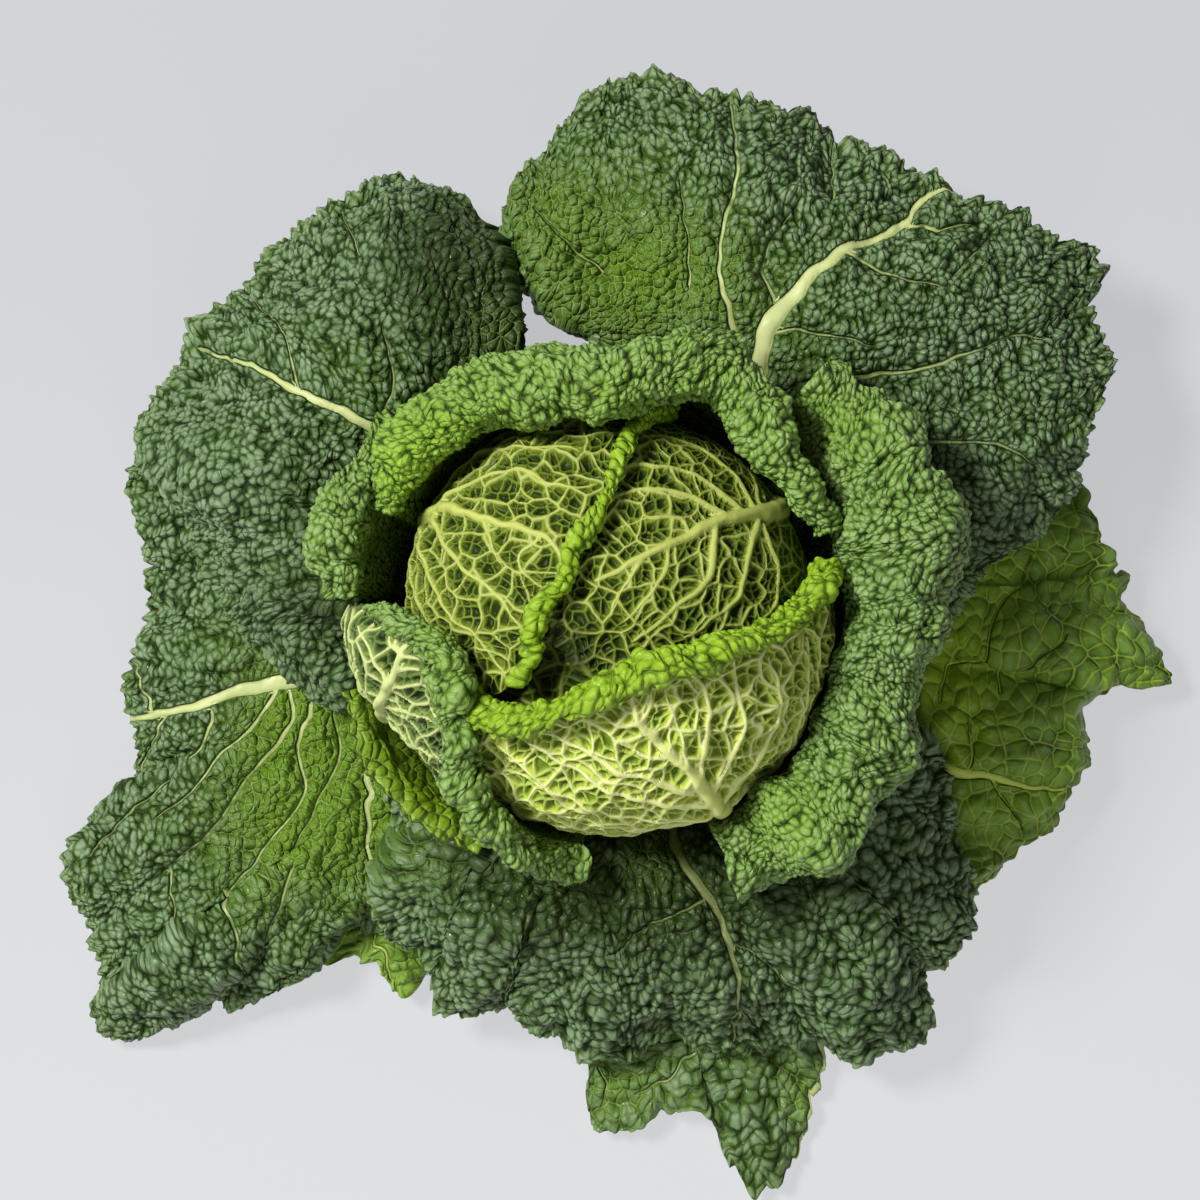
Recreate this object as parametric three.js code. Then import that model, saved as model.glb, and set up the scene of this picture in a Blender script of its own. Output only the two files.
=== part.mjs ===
// Savoy cabbage: a closed head of net-veined leaves in a rosette of rolled collar leaves and
// spread outer leaves, standing on its short cut stump.
// Millimetres, +Z up; the origin is the centre of the stump's cut face.
import * as THREE from 'three';

// ---- Driving dimensions ----------------------------------------------------------------

// The heart is an ellipsoid; the head leaves and the collar lie outside it in layers.
const HEART = { centre: 92, radius: 76, halfHeight: 64, columns: 30, rows: 14, folds: 5, foldStep: 2.2, sunk: 2.8 };
const STUMP = { radius: 18.5, height: 27.2, sides: 28, chamfer: 1.2, scarDepth: 0.8 };

const GAP = 0.5; // leaf bases end this far from the stump's skin
const BLADE = 1.2; // thickness of a leaf blade
const RIB = 3; // thickness of a leaf along its midrib, at the stump
const SIDE_RIB = 1.8; // thickness along the side ribs
const LOWEST = 2.2; // no leaf comes nearer than this to the surface that the stump stands on
const COLLAR_ROOM = 5; // the spread leaves pass this far outside the collar's layers
const SQUEEZE = 0.62; // how much of its layer distance a leaf keeps where it meets the stump

const GREEN = {
  heart: 0x93a84c,
  head: 0x9fb35a,
  collar: 0x4f7d3e,
  outer: 0x35593a,
  fresh: 0x4f8a1f,
  stump: 0xc9cf9a,
};

// Leaves that close over the head or stand round it. Each station across the leaf is
// [azimuth, polar angle from straight down, distance outside the heart, curl radius] of the
// line where the rim starts to roll outward. layer is how far outside the heart the leaf lies
// underneath and belly how far at its widest; turn is how far the rim rolls, and hem the
// length of the rolled rim's flat end. Angles are in degrees.
const WRAPPED = [
  {
    name: 'head_right', layer: 0.2, belly: 0.2, turn: 20, hem: 2, colour: 'head', cell: -1.6,
    columns: 16, rows: 14, midrib: 33, tilt: 44,
    stations: [[-67, 112, 0.2, 6], [-30, 134, 0.2, 6], [0, 147, 0.2, 6], [33, 153, 0.2, 6], [66, 147, 0.2, 6],
      [96, 134, 0.2, 6], [133, 112, 0.2, 6]],
  },
  {
    name: 'head_left', layer: 5, belly: 5, turn: 215, hem: 1, colour: 'head', cell: -1.6,
    columns: 14, rows: 14, midrib: 150, tilt: 0,
    stations: [[74, 98, 5, 2], [82, 112, 5, 2.4], [91, 137, 5, 2.8], [101, 149, 5, 3], [121, 156, 5, 3],
      [147, 161, 5, 3], [168, 158, 5, 3], [190, 155, 5, 3], [207, 151, 5, 3], [214, 143, 5, 2.6]],
  },
  {
    name: 'head_front', layer: 8.8, belly: 8.8, turn: 225, hem: 3, colour: 'head', cell: -1.6,
    columns: 18, rows: 12, midrib: -63, tilt: 0,
    stations: [[-156, 128, 8.8, 2], [-140, 135, 8.8, 4], [-126, 145, 8.8, 5], [-108, 156, 8.8, 5], [-78, 162, 8.8, 5],
      [-42, 161, 8.8, 5], [-18, 149, 8.8, 5], [-8, 137, 8.8, 5], [0, 126, 8.8, 4.6], [13, 108, 8.8, 3]],
  },
  {
    name: 'collar_north', layer: 12.5, belly: 12.5, turn: 235, hem: 3, colour: 'collar', cell: 2,
    columns: 20, rows: 12, midrib: 95, tilt: 0,
    stations: [[22, 107, 13, 2.5], [38, 112, 13.5, 5], [54, 112, 16, 9], [68, 109, 23, 12], [83, 111, 16, 12.5],
      [106, 113, 13.5, 12], [130, 107, 18.5, 10.5], [144, 104, 21, 8], [156, 101, 20, 4]],
  },
  {
    name: 'collar_east', layer: 15.5, belly: 17, turn: 225, hem: 8, colour: 'collar', cell: 2.2,
    columns: 20, rows: 12, midrib: 8, tilt: 0,
    stations: [[-66, 90, 14, 13], [-50, 95, 15, 16], [-26, 99, 14.5, 17], [-8, 101, 13.5, 18], [5, 99, 16, 19],
      [20, 98, 20, 19.5], [36, 97, 25, 17], [50, 94, 33, 9]],
  },
  {
    name: 'collar_west', layer: 16.4, belly: 18.2, turn: 215, hem: 3, colour: 'collar', cell: 1.8,
    columns: 10, rows: 12, midrib: 160, tilt: 0,
    stations: [[138, 92, 34, 3], [148, 96, 32, 5], [158, 99, 29, 8], [165, 99, 27, 9], [171, 98, 25, 8],
      [176, 96, 25, 4]],
  },
  {
    name: 'collar_southwest', layer: 12.5, belly: 16.2, turn: 200, hem: 9, colour: 'collar', cell: -1.8,
    columns: 16, rows: 12, midrib: 208, tilt: 0,
    stations: [[178, 106, 18, 3], [182, 117, 16, 5], [188, 126, 14.5, 6], [200, 128, 14, 6], [212, 121, 15, 6],
      [226, 116, 16, 6], [241, 108, 17, 5.5], [254, 98, 19, 4.5], [262, 91, 20, 3]],
  },
  {
    name: 'inner_southwest', layer: 16.9, belly: 19.4, turn: 50, hem: 3, colour: 'fresh', cell: 1.6,
    columns: 8, rows: 8, midrib: 214, tilt: 0,
    stations: [[196, 80, 24, 14], [206, 84, 26, 14], [218, 86, 27, 14], [230, 83, 26, 14], [240, 77, 24, 14]],
  },
];

// Leaves that spread out from under the head. rim is the leaf's edge from one side to the
// other as [x, y, height]. leave is the polar angle where the leaf leaves the head, arch holds
// [share of the way from there to the rim, height] of two points on the leaf's arch, and side
// is how much lower the arch is at the leaf's two sides.
const SPREAD = [
  {
    name: 'outer_northeast', layer: 21.5, leave: 58, arch: [[0.3, 82], [0.66, 80]], side: 24, midrib: 50, colour: 'outer',
    columns: 22, rows: 12, ruffle: 3, waves: 5,
    rim: [[104, -22, 48], [128, -6, 52], [155, 24, 56], [181, 52, 52], [189, 78, 54], [197, 105, 50],
      [190, 124, 56], [197, 141, 48], [172, 153, 56], [143, 165, 54], [108, 184, 52], [70, 198, 50], [42, 206, 52],
      [12, 212, 46], [-11, 206, 50], [-25, 190, 54], [-40, 169, 56], [-46, 150, 56], [-39, 133, 54],
      [-26, 118, 52], [-12, 107, 52]],
  },
  {
    name: 'outer_northwest', layer: 22.8, leave: 50, arch: [[0.36, 84], [0.66, 80]], side: 20, midrib: 150, colour: 'outer',
    columns: 18, rows: 12, ruffle: 2.5, waves: 4,
    rim: [[-38, 97, 52], [-45, 110, 56], [-47, 126, 58], [-52, 144, 56], [-57, 161, 50], [-75, 170, 44],
      [-88, 178, 38], [-107, 166, 42], [-132, 153, 38], [-148, 129, 40], [-168, 108, 38], [-187, 84, 36],
      [-189, 67, 38], [-174, 48, 42], [-165, 26, 44], [-157, 4, 46], [-136, -18, 48], [-114, -32, 48],
      [-102, -36, 48]],
  },
  {
    name: 'outer_south', layer: 22.6, leave: 50, arch: [[0.32, 72], [0.62, 66]], side: 12, midrib: -75, colour: 'outer',
    columns: 20, rows: 12, ruffle: 3, waves: 6,
    rim: [[-86, -58, 52], [-98, -70, 48], [-93, -94, 46], [-96, -112, 42], [-90, -132, 32], [-76, -141, 30],
      [-73, -154, 24], [-60, -163, 20], [-42, -159, 24], [-28, -171, 20], [-6, -174, 24], [20, -172, 22],
      [46, -177, 18], [68, -172, 24], [92, -176, 20], [108, -176, 22], [127, -164, 24], [128, -145, 30],
      [143, -130, 30], [145, -118, 34], [139, -92, 38], [134, -66, 44], [116, -48, 48]],
  },
  {
    name: 'outer_west', layer: 28.8, leave: 48, arch: [[0.35, 36], [0.7, 34]], side: 6, midrib: 190, colour: 'outer',
    columns: 20, rows: 12, ruffle: 2.5, waves: 6,
    rim: [[-120, 62, 34], [-160, 66, 30], [-195, 66, 24], [-192, 28, 22], [-190, 0, 20], [-199, -30, 18],
      [-196, -62, 16], [-212, -80, 14], [-223, -100, 14], [-214, -128, 12], [-207, -152, 10], [-214, -164, 6],
      [-201, -177, 8], [-182, -170, 10], [-166, -154, 14], [-154, -160, 10], [-131, -154, 12], [-129, -134, 16],
      [-112, -128, 18], [-88, -126, 20], [-66, -116, 22]],
  },
  {
    name: 'outer_east', layer: 27.5, leave: 48, arch: [[0.32, 37], [0.68, 34]], side: 6, midrib: -25, colour: 'outer',
    columns: 16, rows: 10, ruffle: 2.5, waves: 4,
    rim: [[112, -112, 24], [136, -115, 22], [150, -110, 20], [168, -92, 18], [181, -84, 16], [189, -64, 18],
      [195, -32, 20], [213, -29, 16], [226, -28, 12], [219, -10, 16], [210, 6, 18], [213, 15, 14], [203, 17, 20],
      [196, 32, 24], [194, 50, 24], [176, 60, 28], [150, 60, 32]],
  },
  {
    name: 'under_south', layer: 33, leave: 34, arch: [[0.4, 19], [0.7, 17]], side: 3, midrib: -69, colour: 'fresh',
    columns: 10, rows: 8, ruffle: 1.5, waves: 3,
    rim: [[-14, -150, 13], [-11, -177, 12], [-15, -198, 10], [-6, -212, 9], [10, -210, 10], [31, -200, 11],
      [45, -217, 9], [58, -237, 8], [74, -222, 9], [80, -206, 10], [86, -184, 11], [83, -150, 13]],
  },
  {
    name: 'under_southwest', layer: 33, leave: 34, arch: [[0.4, 19], [0.7, 17]], side: 2, midrib: 236, colour: 'fresh',
    columns: 8, rows: 8, ruffle: 1.5, waves: 3,
    rim: [[-122, -98, 12], [-120, -118, 12], [-121, -132, 10], [-116, -141, 9], [-103, -141, 10], [-88, -154, 8],
      [-77, -147, 9], [-64, -140, 12], [-56, -128, 14]],
  },
];

// ---- Helpers -----------------------------------------------------------------------------

const radians = (degrees) => (degrees * Math.PI) / 180;
const mix = (a, b, share) => a + (b - a) * share;

function smooth(low, high, x) {
  const share = Math.min(Math.max((x - low) / (high - low), 0), 1);
  return share * share * (3 - 2 * share);
}

// A smooth curve through the knots: the value at x, where xs rise.
function curve(xs, ys, x) {
  const last = xs.length - 1;
  const at = Math.min(Math.max(x, xs[0]), xs[last]);
  let k = 0;
  while (k < last - 1 && at > xs[k + 1]) k += 1;
  const slope = (i) => {
    const low = Math.max(i - 1, 0);
    const high = Math.min(i + 1, last);
    return (ys[high] - ys[low]) / (xs[high] - xs[low]);
  };
  const width = xs[k + 1] - xs[k];
  const t = (at - xs[k]) / width;
  const rest = 1 - t;
  return ys[k] * rest * rest * (1 + 2 * t) + ys[k + 1] * t * t * (3 - 2 * t)
    + width * t * rest * (rest * slope(k) - t * slope(k + 1));
}

// Distance from the heart's centre to its surface, at that angle from straight down.
function heartRadius(polar) {
  return 1 / Math.hypot(Math.sin(polar) / HEART.radius, Math.cos(polar) / HEART.halfHeight);
}

// Greatest height, at that radius, of an outer leaf that stays clear of the collar's layers.
function clearHeight(radius, layer) {
  const reach = HEART.radius + layer + COLLAR_ROOM;
  return HEART.centre - Math.sqrt(Math.max(reach * reach - radius * radius, 0));
}

// Polar angle at which a leaf of that layer leaves the stump.
function basePolar(layer) {
  return Math.asin((STUMP.radius + GAP) / (HEART.halfHeight + SQUEEZE * layer));
}

// ---- Leaf surfaces -----------------------------------------------------------------------

// A leaf that hugs the head from the stump up to its fold line and rolls outward from there.
// u runs across the leaf and v from the stump to the rim, both from 0 to 1.
function wrappedPoint(leaf, u, v) {
  const azimuths = leaf.stations.map((station) => station[0]);
  const azimuth = mix(azimuths[0], azimuths[azimuths.length - 1], u);
  const across = (k) => curve(azimuths, leaf.stations.map((station) => station[k]), azimuth);
  const foldPolar = radians(across(1));
  const foldStand = across(2);
  const curl = across(3);
  const foldAt = 1 - leaf.rollShare;
  const climb = Math.min(v / foldAt, 1);
  const base = basePolar(leaf.layer);
  const polar = mix(base, foldPolar, climb);
  const [hug, belly] = [0.32, 0.68].map((share) => mix(base, foldPolar, share));
  const stand = curve([base, hug, belly, foldPolar], [SQUEEZE * leaf.layer, leaf.layer, leaf.belly, foldStand], polar);
  const turned = radians(azimuth);
  const direction = new THREE.Vector3(
    Math.sin(polar) * Math.cos(turned), Math.sin(polar) * Math.sin(turned), -Math.cos(polar));
  const ahead = new THREE.Vector3(
    Math.cos(polar) * Math.cos(turned), Math.cos(polar) * Math.sin(turned), Math.sin(polar));
  if (leaf.tilt) {
    const axis = new THREE.Vector3(Math.sin(radians(leaf.midrib)), -Math.cos(radians(leaf.midrib)), 0);
    direction.applyAxisAngle(axis, radians(leaf.tilt));
    ahead.applyAxisAngle(axis, radians(leaf.tilt));
  }
  const reach = heartRadius(Math.acos(-direction.z)) + stand;
  const point = direction.clone().multiplyScalar(reach);
  if (v > foldAt) {
    const turn = radians(leaf.turn);
    const along = ((v - foldAt) / leaf.rollShare) * (curl * turn + leaf.hem);
    const bend = Math.min(along / curl, turn);
    const straight = Math.max(along - curl * turn, 0);
    point.addScaledVector(ahead, curl * Math.sin(bend) + straight * Math.cos(bend));
    point.addScaledVector(direction, curl * (1 - Math.cos(bend)) + straight * Math.sin(bend));
  }
  return point.add(new THREE.Vector3(0, 0, HEART.centre));
}

// A leaf that leaves the head's underside and spreads over an arch to its rim.
function spreadPoint(leaf, u, v) {
  const [x, y, rimHeight] = [0, 1, 2].map((k) => curve(leaf.knots, leaf.rim.map((point) => point[k]), u));
  const turned = azimuthFrom(leaf.midrib, x, y);
  const azimuth = radians(leaf.midrib) + turned * mix(0.55, 1, smooth(0, 0.45, v));
  const sheath = [basePolar(leaf.layer), radians(0.55 * leaf.leave), radians(leaf.leave)];
  const reaches = sheath.map((polar, k) => heartRadius(polar) + leaf.layer * (k === 0 ? SQUEEZE : 1));
  const radii = sheath.map((polar, k) => reaches[k] * Math.sin(polar));
  const heights = sheath.map((polar, k) => HEART.centre - reaches[k] * Math.cos(polar));
  const offMidrib = turned / leaf.halfWidth;
  const rimRadius = Math.max(Math.hypot(x, y), radii[2] + 4);
  for (const [share, archHeight] of leaf.arch) {
    const archRadius = mix(radii[2], rimRadius, share);
    radii.push(archRadius);
    heights.push(Math.min(archHeight - leaf.side * offMidrib * offMidrib, clearHeight(archRadius, leaf.layer)));
  }
  radii.push(rimRadius);
  heights.push(rimHeight);
  const wave = leaf.ruffle * Math.pow(v, 4)
    * (Math.sin(2 * Math.PI * leaf.waves * u + leaf.midrib) + 0.5 * Math.sin(5.2 * Math.PI * leaf.waves * u));
  const radius = curve(leaf.shares, radii, v);
  const height = Math.max(curve(leaf.shares, heights, v) + wave, LOWEST);
  return new THREE.Vector3(radius * Math.cos(azimuth), radius * Math.sin(azimuth), height);
}

// The angle of (x, y) round the axis, from that azimuth in degrees, between -pi and pi.
function azimuthFrom(azimuth, x, y) {
  const turned = Math.atan2(y, x) - radians(azimuth);
  return turned - 2 * Math.PI * Math.round(turned / (2 * Math.PI));
}

// ---- Solids ------------------------------------------------------------------------------

function solid(points, faces) {
  const geometry = new THREE.BufferGeometry();
  geometry.setFromPoints(points);
  geometry.setIndex(faces.flat());
  geometry.computeVertexNormals();
  return geometry;
}

// The closed blade on a grid of surface points: lift moves a grid point off the surface and
// thick is the blade's thickness there. Both faces are split alike.
function blade(surface, columns, rows, lift, thick) {
  const step = 1e-3;
  const above = [];
  const below = [];
  for (let i = 0; i <= columns; i += 1) {
    for (let j = 0; j <= rows; j += 1) {
      const [u, v] = [i / columns, j / rows];
      const across = surface(Math.min(u + step, 1), v).sub(surface(Math.max(u - step, 0), v));
      const along = surface(u, Math.min(v + step, 1)).sub(surface(u, Math.max(v - step, 0)));
      const normal = across.cross(along).normalize();
      const middle = surface(u, v).addScaledVector(normal, lift(i, j));
      above.push(middle.clone().addScaledVector(normal, thick(i, j) / 2));
      below.push(middle.addScaledVector(normal, -thick(i, j) / 2));
    }
  }
  const under = above.length;
  const at = (i, j) => i * (rows + 1) + j;
  const faces = [];
  for (let i = 0; i < columns; i += 1) {
    for (let j = 0; j < rows; j += 1) {
      const [a, b, c, d] = [at(i, j), at(i + 1, j), at(i + 1, j + 1), at(i, j + 1)];
      const halves = (i + j) % 2 === 0 ? [[a, b, c], [a, c, d]] : [[a, b, d], [b, c, d]];
      for (const [p, q, r] of halves) faces.push([p, q, r], [p + under, r + under, q + under]);
    }
  }
  const wall = (p, q) => faces.push([p, p + under, q], [q, p + under, q + under]);
  for (let i = 0; i < columns; i += 1) {
    wall(at(i, 0), at(i + 1, 0));
    wall(at(i + 1, rows), at(i, rows));
  }
  for (let j = 0; j < rows; j += 1) {
    wall(at(columns, j), at(columns, j + 1));
    wall(at(0, j + 1), at(0, j));
  }
  return solid([...above, ...below], faces);
}

// A closed solid of revolution-like rings, from the lowest up, with a point at each end.
function ringed(lowest, rings, highest) {
  const sides = rings[0].length;
  const points = [lowest, ...rings.flat(), highest];
  const at = (ring, side) => 1 + ring * sides + (side % sides);
  const faces = [];
  for (let side = 0; side < sides; side += 1) {
    faces.push([0, at(0, side + 1), at(0, side)]);
    faces.push([points.length - 1, at(rings.length - 1, side), at(rings.length - 1, side + 1)]);
    for (let ring = 0; ring + 1 < rings.length; ring += 1) {
      const [a, b, c, d] = [at(ring, side), at(ring, side + 1), at(ring + 1, side + 1), at(ring + 1, side)];
      if ((ring + side) % 2 === 0) faces.push([a, b, c], [a, c, d]);
      else faces.push([a, b, d], [b, c, d]);
    }
  }
  return solid(points, faces);
}

function named(name, geometry, colour, roughness) {
  const material = new THREE.MeshStandardMaterial({ color: GREEN[colour], roughness, metalness: 0 });
  const mesh = new THREE.Mesh(geometry, material);
  mesh.name = name;
  return mesh;
}

// Raised or sunk cells stand at every second grid point both ways, and creases between them.
const inCell = (i, j) => i % 2 === 1 && j % 2 === 1;

// Thickness of a leaf at a grid point: the midrib, side ribs that branch from it towards the
// rim, and the blade between.
function ribbed(leaf) {
  return (i, j) => {
    const off = Math.abs(i - leaf.midribColumn);
    if (off === 0) return mix(RIB, BLADE, 0.8 * (j / leaf.rows));
    return (j - off) % 4 === 0 && j > off ? SIDE_RIB : BLADE;
  };
}

// Cells fade out where the leaf is narrow, at the stump, and end before its very rim.
function puckered(leaf) {
  return (i, j) => {
    const atEdge = i === 0 || i === leaf.columns || j === leaf.rows;
    return inCell(i, j) && !atEdge ? leaf.cell * smooth(0.25, 0.5, j / leaf.rows) : 0;
  };
}

function leafMesh(leaf, surface, share, roughness) {
  leaf.midribColumn = 2 * Math.round(share * (leaf.columns / 2));
  const geometry = blade(surface, leaf.columns, leaf.rows, puckered(leaf), ribbed(leaf));
  return named(leaf.name, geometry, leaf.colour, roughness);
}

function wrappedLeaf(leaf) {
  const first = leaf.stations[0][0];
  const last = leaf.stations[leaf.stations.length - 1][0];
  const meanCurl = leaf.stations.reduce((sum, station) => sum + station[3], 0) / leaf.stations.length;
  const rolled = meanCurl * radians(leaf.turn) + leaf.hem;
  leaf.rollShare = Math.min(Math.max(rolled / (rolled + 2 * HEART.radius), 0.15), 0.42);
  const share = (last - leaf.midrib) / (last - first);
  return leafMesh(leaf, (u, v) => wrappedPoint(leaf, 1 - u, v), share, 0.55);
}

// Shares of the way, by length, at which the rows of that outline's points lie.
function lengthShares(points) {
  const lengths = [0];
  for (let k = 1; k < points.length; k += 1) {
    const [a, b] = [points[k - 1], points[k]];
    lengths.push(lengths[k - 1] + Math.hypot(b[0] - a[0], b[1] - a[1]));
  }
  return lengths.map((length) => length / lengths[lengths.length - 1]);
}

function spreadLeaf(leaf) {
  leaf.knots = lengthShares(leaf.rim);
  const turns = leaf.rim.map(([x, y]) => azimuthFrom(leaf.midrib, x, y));
  leaf.halfWidth = Math.max(...turns.map(Math.abs));
  const nearest = turns.reduce((best, turn, k) => (Math.abs(turn) < Math.abs(turns[best]) ? k : best), 0);
  const reach = HEART.radius + leaf.layer;
  const leaveAt = [reach * Math.sin(radians(leaf.leave)), HEART.centre - reach * Math.cos(radians(leaf.leave))];
  const rimAt = [Math.hypot(leaf.rim[nearest][0], leaf.rim[nearest][1]), leaf.rim[nearest][2]];
  const archAt = leaf.arch.map(([share, archHeight]) => [mix(leaveAt[0], rimAt[0], share), archHeight]);
  const hug = radians(0.55 * leaf.leave);
  const hugAt = [reach * Math.sin(hug), HEART.centre - reach * Math.cos(hug)];
  const baseAt = [STUMP.radius, HEART.centre - HEART.halfHeight - SQUEEZE * leaf.layer];
  leaf.shares = lengthShares([baseAt, hugAt, leaveAt, ...archAt, rimAt]);
  return leafMesh(leaf, (u, v) => spreadPoint(leaf, 1 - u, v), 1 - leaf.knots[nearest], 0.6);
}

// The heart's skin steps outward round each fold, where one inner leaf laps over the next.
function heart() {
  const rings = [];
  for (let j = 1; j < HEART.rows; j += 1) {
    const polar = (Math.PI * j) / HEART.rows;
    const ring = [];
    for (let i = 0; i < HEART.columns; i += 1) {
      const turned = (2 * Math.PI * i) / HEART.columns;
      const lap = ((turned + 0.9 * polar) * HEART.folds) / (2 * Math.PI);
      const step = HEART.foldStep * (lap - Math.floor(lap)) * Math.sin(polar);
      const reach = heartRadius(polar) - HEART.sunk - HEART.foldStep + step;
      ring.push(new THREE.Vector3(reach * Math.sin(polar) * Math.cos(turned),
        reach * Math.sin(polar) * Math.sin(turned), HEART.centre - reach * Math.cos(polar)));
    }
    rings.push(ring);
  }
  const end = HEART.halfHeight - HEART.sunk;
  const lowest = new THREE.Vector3(0, 0, HEART.centre - end);
  const highest = new THREE.Vector3(0, 0, HEART.centre + end - HEART.foldStep);
  return named('heart', ringed(lowest, rings, highest), 'heart', 0.5);
}

// The stump: a flat cut face with a small chamfer, and the scars of the lowest leaves.
function stump() {
  const heights = [0, STUMP.chamfer, 0.22, 0.4, 0.7, 1].map((height, k) => (k < 2 ? height : height * STUMP.height));
  const rings = heights.map((height, k) => {
    const ring = [];
    for (let side = 0; side < STUMP.sides; side += 1) {
      const turned = (2 * Math.PI * side) / STUMP.sides;
      const scar = k > 0 && k < 4 ? STUMP.scarDepth * (0.5 + 0.5 * Math.sin(5 * turned + 2.4 * k)) : 0;
      const radius = STUMP.radius - scar - (k === 0 ? STUMP.chamfer : 0);
      ring.push(new THREE.Vector3(radius * Math.cos(turned), radius * Math.sin(turned), height));
    }
    return ring;
  });
  const cutFace = new THREE.Vector3(0, 0, 0);
  const crown = new THREE.Vector3(0, 0, STUMP.height);
  return named('stump', ringed(cutFace, rings, crown), 'stump', 0.7);
}

// ---- The object --------------------------------------------------------------------------

const cabbage = new THREE.Group();
cabbage.add(stump(), heart());
for (const leaf of WRAPPED) cabbage.add(wrappedLeaf(leaf));
for (const leaf of SPREAD) cabbage.add(spreadLeaf({ cell: 2.4, ...leaf }));

export default cabbage;
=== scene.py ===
"""Looks of a savoy cabbage: blistered, net-veined leaves round a closed head on a short stump.

Each leaf is drawn on the same surface as its solid in the frame, in millimetres, and is then
given its blisters, ribs, raised net and ragged rim as real relief. Blender's own cell texture
is read at the leaf's points, so that the relief and the finish share one pattern.
"""

import logging
import math
from dataclasses import dataclass, field
from enum import Enum

import bpy
import numpy as np
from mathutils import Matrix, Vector


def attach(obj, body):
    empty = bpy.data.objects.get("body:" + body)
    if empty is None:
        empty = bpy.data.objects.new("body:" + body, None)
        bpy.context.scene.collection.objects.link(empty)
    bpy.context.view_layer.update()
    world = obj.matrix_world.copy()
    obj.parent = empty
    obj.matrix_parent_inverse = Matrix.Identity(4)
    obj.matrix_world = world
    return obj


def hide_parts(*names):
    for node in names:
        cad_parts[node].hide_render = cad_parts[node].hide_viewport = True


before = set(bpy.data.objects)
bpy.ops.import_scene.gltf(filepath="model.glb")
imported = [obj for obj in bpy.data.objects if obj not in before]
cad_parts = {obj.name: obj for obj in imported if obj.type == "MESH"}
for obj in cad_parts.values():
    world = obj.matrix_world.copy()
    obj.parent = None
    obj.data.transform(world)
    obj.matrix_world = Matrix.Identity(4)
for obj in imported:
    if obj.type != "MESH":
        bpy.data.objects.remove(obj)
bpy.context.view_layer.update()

MM = 0.001  # every size below is in millimetres
log = logging.getLogger("cabbage")

Array = np.ndarray
Colour = tuple[float, float, float, float]
Socket = bpy.types.NodeSocket
Span = tuple[float, float]  # where something starts to change, and where the change ends


# ---- Curves and vectors ------------------------------------------------------------------


def mix(low: Array | float, high: Array | float, share: Array | float) -> Array:
    """Returns the value that lies at share of the way from low to high."""
    return low + (high - low) * share


def smooth(low: float, high: float, at: Array | float) -> Array:
    """Eases from 0 at low to 1 at high; high may lie below low, and the ease then falls."""
    share = np.clip((at - low) / (high - low), 0.0, 1.0)
    return share * share * (3.0 - 2.0 * share)


def curve(knots: Array, values: Array, at: Array) -> Array:
    """Runs a smooth curve through knots.

    Args:
        knots: rising places, along the last axis, shared or one row for each place asked for.
        values: the curve's value at each knot, laid out as knots is.
        at: the places asked for.

    Returns:
        The curve's value at each place.
    """
    knots = np.broadcast_to(knots, at.shape + np.shape(knots)[-1:])
    values = np.broadcast_to(values, at.shape + np.shape(values)[-1:])
    last = knots.shape[-1] - 1
    at = np.clip(at, knots[..., 0], knots[..., -1])
    here = (at[..., None] > knots[..., 1:-1]).sum(-1)

    def pick(table: Array, index: Array) -> Array:
        """Returns each row's entry at its own index."""
        return np.take_along_axis(table, index[..., None], -1)[..., 0]

    def slope(index: Array) -> Array:
        """Finds the curve's slope at a knot, from the knots beside it.

        Args:
            index: the number of each row's knot.

        Returns:
            Each row's slope.
        """
        low = np.maximum(index - 1, 0)
        high = np.minimum(index + 1, last)
        return (pick(values, high) - pick(values, low)) / (pick(knots, high) - pick(knots, low))

    width = pick(knots, here + 1) - pick(knots, here)
    t = (at - pick(knots, here)) / width
    rest = 1.0 - t
    ends = pick(values, here) * rest * rest * (1 + 2 * t) + pick(values, here + 1) * t * t * (3 - 2 * t)
    return ends + width * t * rest * (rest * slope(here) - t * slope(here + 1))


def unit(vectors: Array) -> Array:
    """Returns the vectors scaled to a length of one."""
    return vectors / np.maximum(np.linalg.norm(vectors, axis=-1, keepdims=True), 1e-9)


def turned(vectors: Array, axis: Array, angle: float) -> Array:
    """Turns vectors about an axis.

    Args:
        vectors: the vectors.
        axis: a unit vector.
        angle: the turn, in radians.

    Returns:
        The turned vectors.
    """
    along = (vectors @ axis)[..., None] * axis
    across = np.cross(axis, vectors)
    return vectors * math.cos(angle) + across * math.sin(angle) + along * (1 - math.cos(angle))


def heading(azimuth: Array) -> Array:
    """Returns the level direction at an azimuth in radians."""
    return np.stack([np.cos(azimuth), np.sin(azimuth)], -1)


def run_along(points: Array) -> Array:
    """Returns how far along its path each point lies."""
    steps = np.linalg.norm(np.diff(points, axis=-2), axis=-1)
    return np.concatenate([np.zeros(steps.shape[:-1] + (1,)), np.cumsum(steps, -1)], -1)


def length_shares(points: Array) -> Array:
    """Returns, for each point of a path, its share of the way along by length."""
    run = run_along(points)
    return run / run[..., -1:]


# ---- Patterns shared by relief and finish --------------------------------------------------


class Pattern(Enum):
    """The textures that are read at points: node type, settings and the output that is read."""

    NOISE = ("ShaderNodeTexNoise", {}, "Color")
    EDGES = ("ShaderNodeTexVoronoi", {"feature": "DISTANCE_TO_EDGE", "voronoi_dimensions": "2D"}, "Distance")
    CENTRES = ("ShaderNodeTexVoronoi", {"feature": "F1", "voronoi_dimensions": "2D"}, "Distance")
    TINTS = ("ShaderNodeTexVoronoi", {"feature": "F1", "voronoi_dimensions": "2D"}, "Color")


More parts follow.
